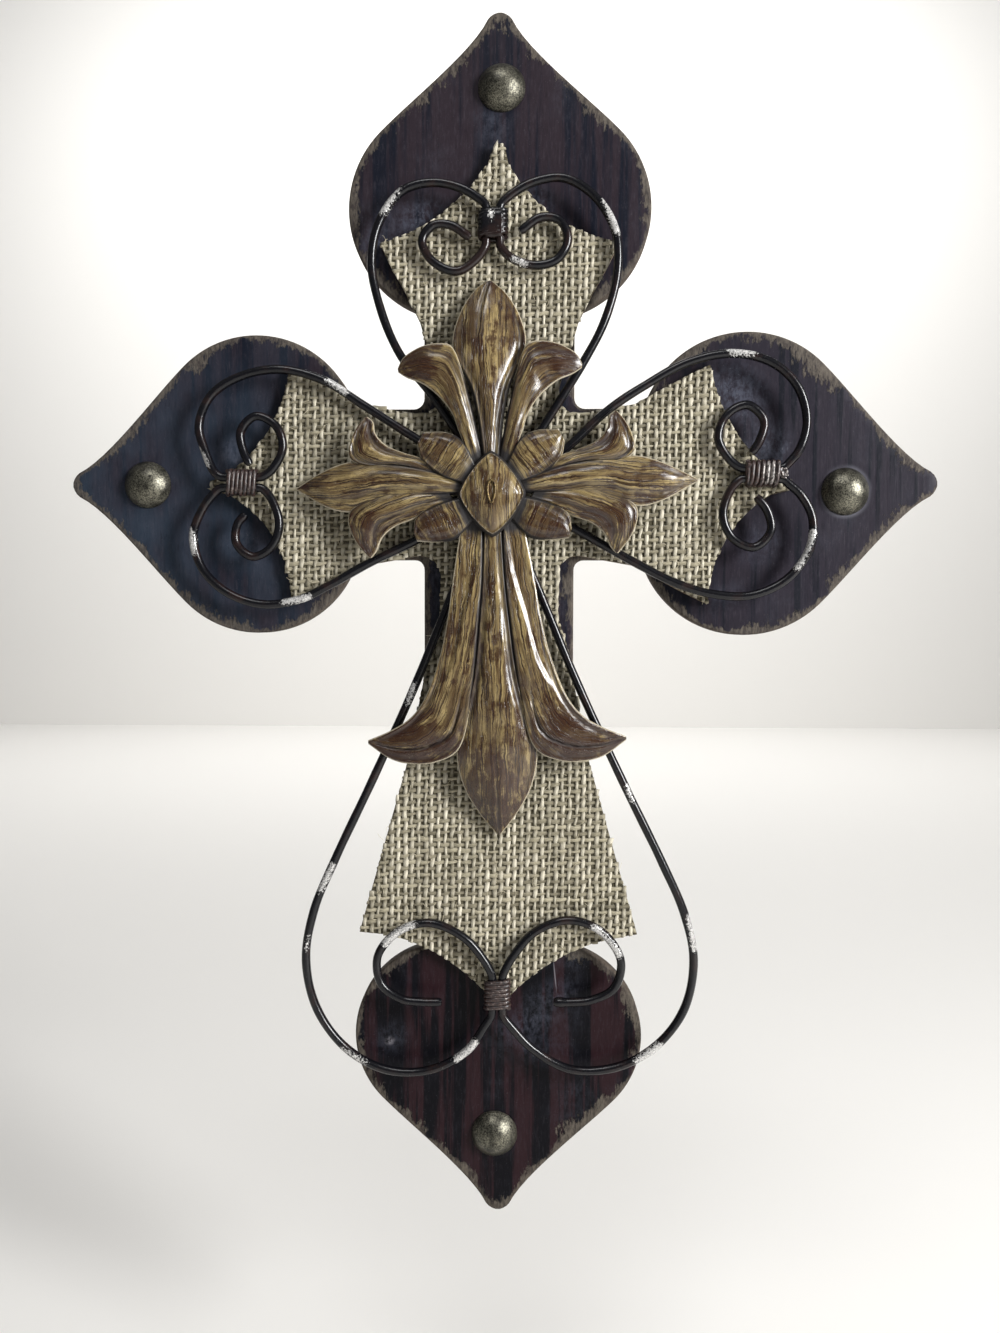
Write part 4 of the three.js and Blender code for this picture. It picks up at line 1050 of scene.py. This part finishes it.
def close_back(disc, wanted, back):
    """Runs the disc's rim straight back and closes it."""
    select_edges(disc, wanted)
    bpy.ops.mesh.extrude_region_move(TRANSFORM_OT_translate={"value": (0, back, 0)})
    bpy.ops.mesh.edge_face_add()
    bpy.ops.mesh.select_all(action="SELECT")
    bpy.ops.mesh.normals_make_consistent(inside=False)
    bpy.ops.object.mode_set(mode="OBJECT")


stamped = []
for name, shape in leaves.items():
    for mirror in shape["mirrors"]:
        stamped.append(stamp_leaf(f"{name}_{len(stamped)}", shape, mirror))

diamond = inset_disc("diamond", 1, 96, 24)
flat = places_of(diamond)
share = np.hypot(flat[:, 0], flat[:, 1])
angle = np.arctan2(flat[:, 1], flat[:, 0])
cos, sin = np.cos(angle), np.sin(angle)
half_width, half_height, squareness, diamond_rim, diamond_dome = 12.3, 15.5, 1.3, 14.6, 4.4
reach = (np.abs(cos / half_width) ** squareness + np.abs(sin / half_height) ** squareness)
reach = reach ** (-1 / squareness)
height = diamond_rim + diamond_dome * np.cos(np.minimum(share, 1) * math.pi / 2) ** 0.62
height += 0.45 * hump(share - 0.93, 0.04) - 0.35 * hump(share - 0.85, 0.05)
bumps = [noise.noise(Vector((a * 4, b * 4, 5.0))) for a, b in flat[:, :2]]
height += 0.25 * np.array(bumps) * (1 - share)
set_on_cross(diamond, reach * share * cos, height, reach * share * sin)
outer = {i for i, s in enumerate(share) if s > 0.999}
outer_places = {tuple(round(c, 7) for c in diamond.data.vertices[i].co) for i in outer}
close_back(diamond, lambda co: tuple(round(c, 7) for c in co) in outer_places, 5 * mm)
spots, _ = from_crossing(diamond)
count = len(diamond.data.vertices)
kept_share = np.ones(count)
kept_share[: len(share)] = share
# Painted shade round the diamond's rim and over its back
store(diamond, "seam_shade", np.where(np.arange(count) < len(share), hump(kept_share - 1, 0.06), 1.0))
store(diamond, "worn", 0.55 * hump(kept_share - 0.93, 0.03))
store(diamond, "tip", np.zeros(count))
set_uv(diamond, "Grain", spots + 900)
diamond.data.polygons.foreach_set("use_smooth", [True] * len(diamond.data.polygons))
join(stamped + [diamond])
ornament = name_piece("grained_leaf_ornament")
smooth(ornament, 50)

# Umber grain that follows each leaf over ochre, dark patches, and painted shade, near black, along the
# seams and in the grooves
grained = Finish("grained_paint", Specular_IOR_Level=0.5, Coat_Weight=0.2, Coat_Roughness=0.16)
lay = grained.add("ShaderNodeUVMap", uv_map="Grain").outputs[0]
bent = grained.grain((4, 7, 1), 4.4, 3, lay)
wavy = grained.add("ShaderNodeVectorMath", {
    0: lay, 1: grained.add("ShaderNodeCombineXYZ", {"X": grained.times(bent, 2.6)}).outputs[0],
}, operation="ADD").outputs[0]
fine = grained.grain((0.34, 14, 1), 0.0, 3, wavy, 0.6)
lines = grained.grain((0.62, 30, 1), 21.0, 2, wavy)
broad = grained.grain((3.2, 30, 1), 11.0, 4, wavy, 0.6)
mottle = grained.grain((4.2, 4.2, 4.2), 5.5, 6, rough=0.7)
pores = grained.grain((0.6, 0.6, 0.6), 1.1, 5, rough=0.7)
zones = grained.grain((13, 13, 13), 3.9, 2)
along_grain = grained.grain((1.9, 11, 1), 15.0, 4, wavy, 0.65)
blotches_and_shade = 0.0
# Darker patches: middle, reach across and up, and how much; those on the two lower petals are partly
# painted shade, as they face down
dark_patches_and_shade = [
    (-33, -96, 24, 18, 0.9), (27, -91, 27, 22, 1.1), (27, 44, 16, 16, 0.9), (-30, 46, 15, 13, 1.1),
    (14.8, -17, 12, 11, 1.3), (-21.6, -17, 12, 11, 1.3), (41, 20, 11, 13, 0.9),
    (40, -14, 17, 10, 1.1), (-47, 16, 12, 10, 0.9), (-3, -114, 15, 24, 0.8), (-17, -52, 7, 22, 0.6),
    (-54, -16, 16, 14, 0.4),
]
for x, z, across, up, share in dark_patches_and_shade:
    blotches_and_shade = grained.plus(blotches_and_shade, grained.times(grained.near(x, z, across, up), share))
blotches_and_shade = grained.math("MINIMUM", blotches_and_shade, 1.0)
shadowed = grained.plus(grained.times(mottle, 0.3), grained.times(zones, 0.3))
shadowed = grained.plus(shadowed, grained.times(along_grain, 0.4))
shadowed = grained.plus(shadowed, grained.times(grained.kept("tip"), 0.03))
shadowed = grained.plus(shadowed, grained.math("MULTIPLY_ADD", blotches_and_shade, 0.13, -0.03))
shadowed = grained.step(shadowed, 0.49, 0.56)
ochre = grained.mix(grained.step(broad, 0.4, 0.62), paint("594830"), paint("9c895d"))
ochre = grained.mix(grained.times(grained.step(fine, 0.47, 0.58), 0.62), ochre, paint("352414"))
umber = grained.step(lines, 0.53, 0.58)
ochre = grained.mix(grained.times(umber, 0.9), ochre, paint("24160c"))
ochre = grained.mix(grained.times(shadowed, 0.8), ochre, paint("2c1308"))
tips = grained.times(grained.kept("tip"), grained.step(mottle, 0.36, 0.56))
ochre = grained.mix(grained.math("MINIMUM", grained.times(tips, 0.6), 0.75), ochre, paint("2a140a"))
ochre = grained.mix(grained.times(grained.step(pores, 0.58, 0.68), 0.7), ochre, paint("17100c"))
pale_spots = grained.step(grained.grain((1.4, 1.4, 1.4), 7.4, 5, rough=0.7), 0.6, 0.72)
pale_spots = grained.times(pale_spots, 0.2)
ochre = grained.mix(pale_spots, ochre, paint("a3987c"))
# Painted shade, near black, along the seams and in the grooves
line = grained.math("MINIMUM", grained.times(grained.kept("seam_shade"), 2.1), 0.97)
ochre = grained.mix(line, ochre, paint("0c090d"))
rubbed = grained.plus(grained.kept("worn"), grained.times(grained.math("SUBTRACT", pores, 0.5), 0.7))
rubbed = grained.step(rubbed, 0.42, 0.62)
ochre = grained.mix(grained.times(rubbed, 0.85), ochre, paint("a89e88"))
shine = grained.math("MULTIPLY_ADD", pores, 0.2, 0.06)
shine = grained.plus(shine, grained.times(grained.kept("tip"), 0.06))
grained.set(
    Base_Color=ochre,
    Roughness=grained.math("MINIMUM", grained.plus(shine, grained.times(line, 0.5)), 0.85),
    Normal=grained.relief(umber, -0.07, grained.relief(pores, 0.05, grained.relief(mottle, 0.1))),
)
dress(ornament, grained, "grained_metal", "leaf_ornament")

# Split pin
# A split pin of dark brass wire holds the ornament on: its long eye shows on the diamond,
# its legs run through every layer and are spread flat on the back.
pin_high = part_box("centre_pin")[1]
pin_wire, bend_radius = 0.5 * mm, 1.5 * mm
eye_reach, eye_rise, eye_wire, eye_points = 1.35 * mm, 3.9 * mm, 0.42 * mm, 40
foot = pin_high.y - pin_wire
eye_angle = np.linspace(0, 2 * math.pi, eye_points, endpoint=False)
eye_front = board_front - 19.15 * mm
eye = np.column_stack([
    leaf_centre[0] + eye_reach * np.cos(eye_angle) * (1 + 0.25 * np.sin(eye_angle)),
    np.full(eye_points, eye_front),
    leaf_centre[1] + eye_rise * np.sin(eye_angle) + 0.4 * mm,
])
legs = []
for way in (-1, 1):
    x, z = leaf_centre[0] + way * pin_wire, leaf_centre[1]
    bend = [(x, foot - bend_radius * (1 - math.sin(a)), z + way * bend_radius * (1 - math.cos(a)))
            for a in np.linspace(0, math.pi / 2, 8)]
    shank = [(x, eye_front + pin_wire, z), (x, foot - 6 * mm, z), (x, foot - bend_radius, z)]
    spread = [(x, foot, z + way * t * mm) for t in (3, 5, 7, 8.4, 8.9)]
    legs.append(np.array(shank + bend[1:] + spread))
pin = tube("split_pin", legs, pin_wire, 3)
join([pin, tube("split_pin_eye", [np.vstack([eye, eye[:1]])], eye_wire, 3)])
dark_brass = Finish("dark_brass", Metallic=0.6)
film = dark_brass.grain((0.8, 0.8, 0.8), 2.2, 5, rough=0.7)
dark_brass.set(
    Base_Color=dark_brass.mix(dark_brass.step(film, 0.4, 0.65), paint("33261a"), paint("927c4e")),
    Roughness=dark_brass.math("MULTIPLY_ADD", film, 0.3, 0.2),
    Normal=dark_brass.relief(film, 0.12),
)
dress(pin, dark_brass, "aged_brass", "centre_pin")

# Domed nails
# Four furniture nails with low round heads in antiqued brass, driven through the board's
# ends by hand, so none sits quite true.
brass = Finish("aged_brass", Metallic=0.85)
tarnish = brass.grain((0.5, 0.5, 0.5), 3.8, 4, rough=0.7)
cloud = brass.grain((4, 4, 4), 6.9, 4)
colour = brass.mix(brass.step(tarnish, 0.36, 0.64), paint("2f2e2b"), paint("858273"))
colour = brass.mix(brass.times(brass.step(cloud, 0.42, 0.68), 0.7), colour, paint("292825"))
brass.set(
    Base_Color=colour,
    Roughness=brass.math("MULTIPLY_ADD", tarnish, 0.24, 0.24),
    Normal=brass.relief(tarnish, 0.08, brass.relief(cloud, 0.22)),
)
nail_sides, nail_rings = 56, 15
head_edge, tucked_edge = 0.4 * mm, 0.38 * mm
for name in ("nail_top", "nail_left", "nail_right", "nail_bottom"):
    low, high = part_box(name)
    middle_x, middle_z = (low.x + high.x) / 2, (low.z + high.z) / 2
    radius, tall = (high.z - low.z) / 2, board_front - low.y
    ball = (radius**2 + tall**2) / (2 * tall)
    nail = inset_disc(name + "_dome", radius, nail_sides, nail_rings)
    flat = places_of(nail)
    out = np.hypot(flat[:, 0], flat[:, 1])
    dome = np.sqrt(np.maximum(0, ball**2 - out**2)) - (ball - tall)
    placed = np.column_stack([
        middle_x + flat[:, 0], board_front - np.maximum(dome, head_edge), middle_z + flat[:, 1]])
    nail.data.vertices.foreach_set("co", placed.ravel())
    nail.data.update()
    rim_reach = radius * 0.998
    close_back(nail, lambda co: math.hypot(co.x - middle_x, co.z - middle_z) > rim_reach, tucked_edge)
    smooth(nail, 40)
    dress(nail, brass, "aged_brass", name)

# Sawtooth hanger
# A stamped steel strip with teeth along its lower edge, its ends stepped back to the board
# and held by two small nails, on the back of the top arm.
zinc = Finish("zinc_plate", Metallic=0.9)
spangle = zinc.grain((2.5, 2.5, 2.5), 1.9)
zinc.set(
    Base_Color=zinc.mix(spangle, paint("7f8183"), paint("b9b8b2")),
    Roughness=zinc.math("MULTIPLY_ADD", spangle, 0.25, 0.28),
    Normal=zinc.relief(zinc.grain((3, 0.4, 0.4), 4.1), 0.04),
)
for name in ("sawtooth_hanger", "hanger_nail_left", "hanger_nail_right"):
    refinish(name, zinc)

# Studio
# A plain pale floor and a far pale backdrop, a large soft light from the right and a little
# above, as a window would give, and a weaker one from the front.
pale_paint = Finish("studio_paint", Roughness=0.9)
pale_paint.set(Base_Color=paint("eceae6"))
floor_z = board_low.z - 120 * mm
floor = [(x, y, floor_z) for x, y in ((-5, -3), (5, -3), (5, 3), (-5, 3))]
backdrop = [(x, 3, floor_z + z) for x, z in ((-5, 0), (5, 0), (5, 5), (-5, 5))]
for name, corners in (("studio_floor", floor), ("studio_backdrop", backdrop)):
    bpy.ops.object.select_all(action="DESELECT")
    bpy.ops.mesh.primitive_plane_add(size=1)
    plane = name_piece(name)
    for loop, corner in zip(plane.data.polygons[0].vertices, corners):
        plane.data.vertices[loop].co = corner
    plane.data.materials.append(pale_paint.material)

world = bpy.data.worlds.new("studio")
world.use_nodes = True
world.node_tree.nodes["Background"].inputs["Color"].default_value = paint("e6e7ea")
world.node_tree.nodes["Background"].inputs["Strength"].default_value = 0.17
bpy.context.scene.world = world


def soft_light(name, place, size, power, target=(0, 0, crossing)):
    """A rectangular light aimed at the crossing, or at another spot."""
    light = bpy.data.lights.new(name, "AREA")
    light.shape, light.energy = "RECTANGLE", power
    light.size, light.size_y = size
    lamp = bpy.data.objects.new(name, light)
    lamp.location = place
    aim = Vector(target) - Vector(place)
    lamp.rotation_euler = aim.to_track_quat("-Z", "Y").to_euler()
    bpy.context.collection.objects.link(lamp)


soft_light("window", (1.0, -0.72, 0.18), (0.3, 0.58), 27)
soft_light("front", (-0.05, -0.8, 1.2), (0.7, 0.5), 8)
soft_light("backdrop_wash", (0, 1.6, 1.8), (3, 0.5), 60, (0, 3, 0.4))

# The camera, at the photograph's place and angle
focal_pixels, picture_height, film_height = 1000, 1333, 36
camera = bpy.data.cameras.new("camera")
camera.sensor_fit = "VERTICAL"
camera.sensor_height = film_height
camera.lens = film_height * focal_pixels / picture_height
camera_object = bpy.data.objects.new("camera", camera)
camera_object.location = (0.009995, -0.385687, -0.170522)
right = (0.99967805, 0.02528276, 0.00214094)
up = (-0.00318969, 0.04151362, 0.99913285)
back = (0.02517196, -0.998818, 0.0415809)
turned = Matrix([[right[i], up[i], back[i]] for i in range(3)])
camera_object.rotation_euler = turned.to_euler()
bpy.context.collection.objects.link(camera_object)
bpy.context.scene.camera = camera_object
bpy.context.scene.view_settings.view_transform = "Standard"
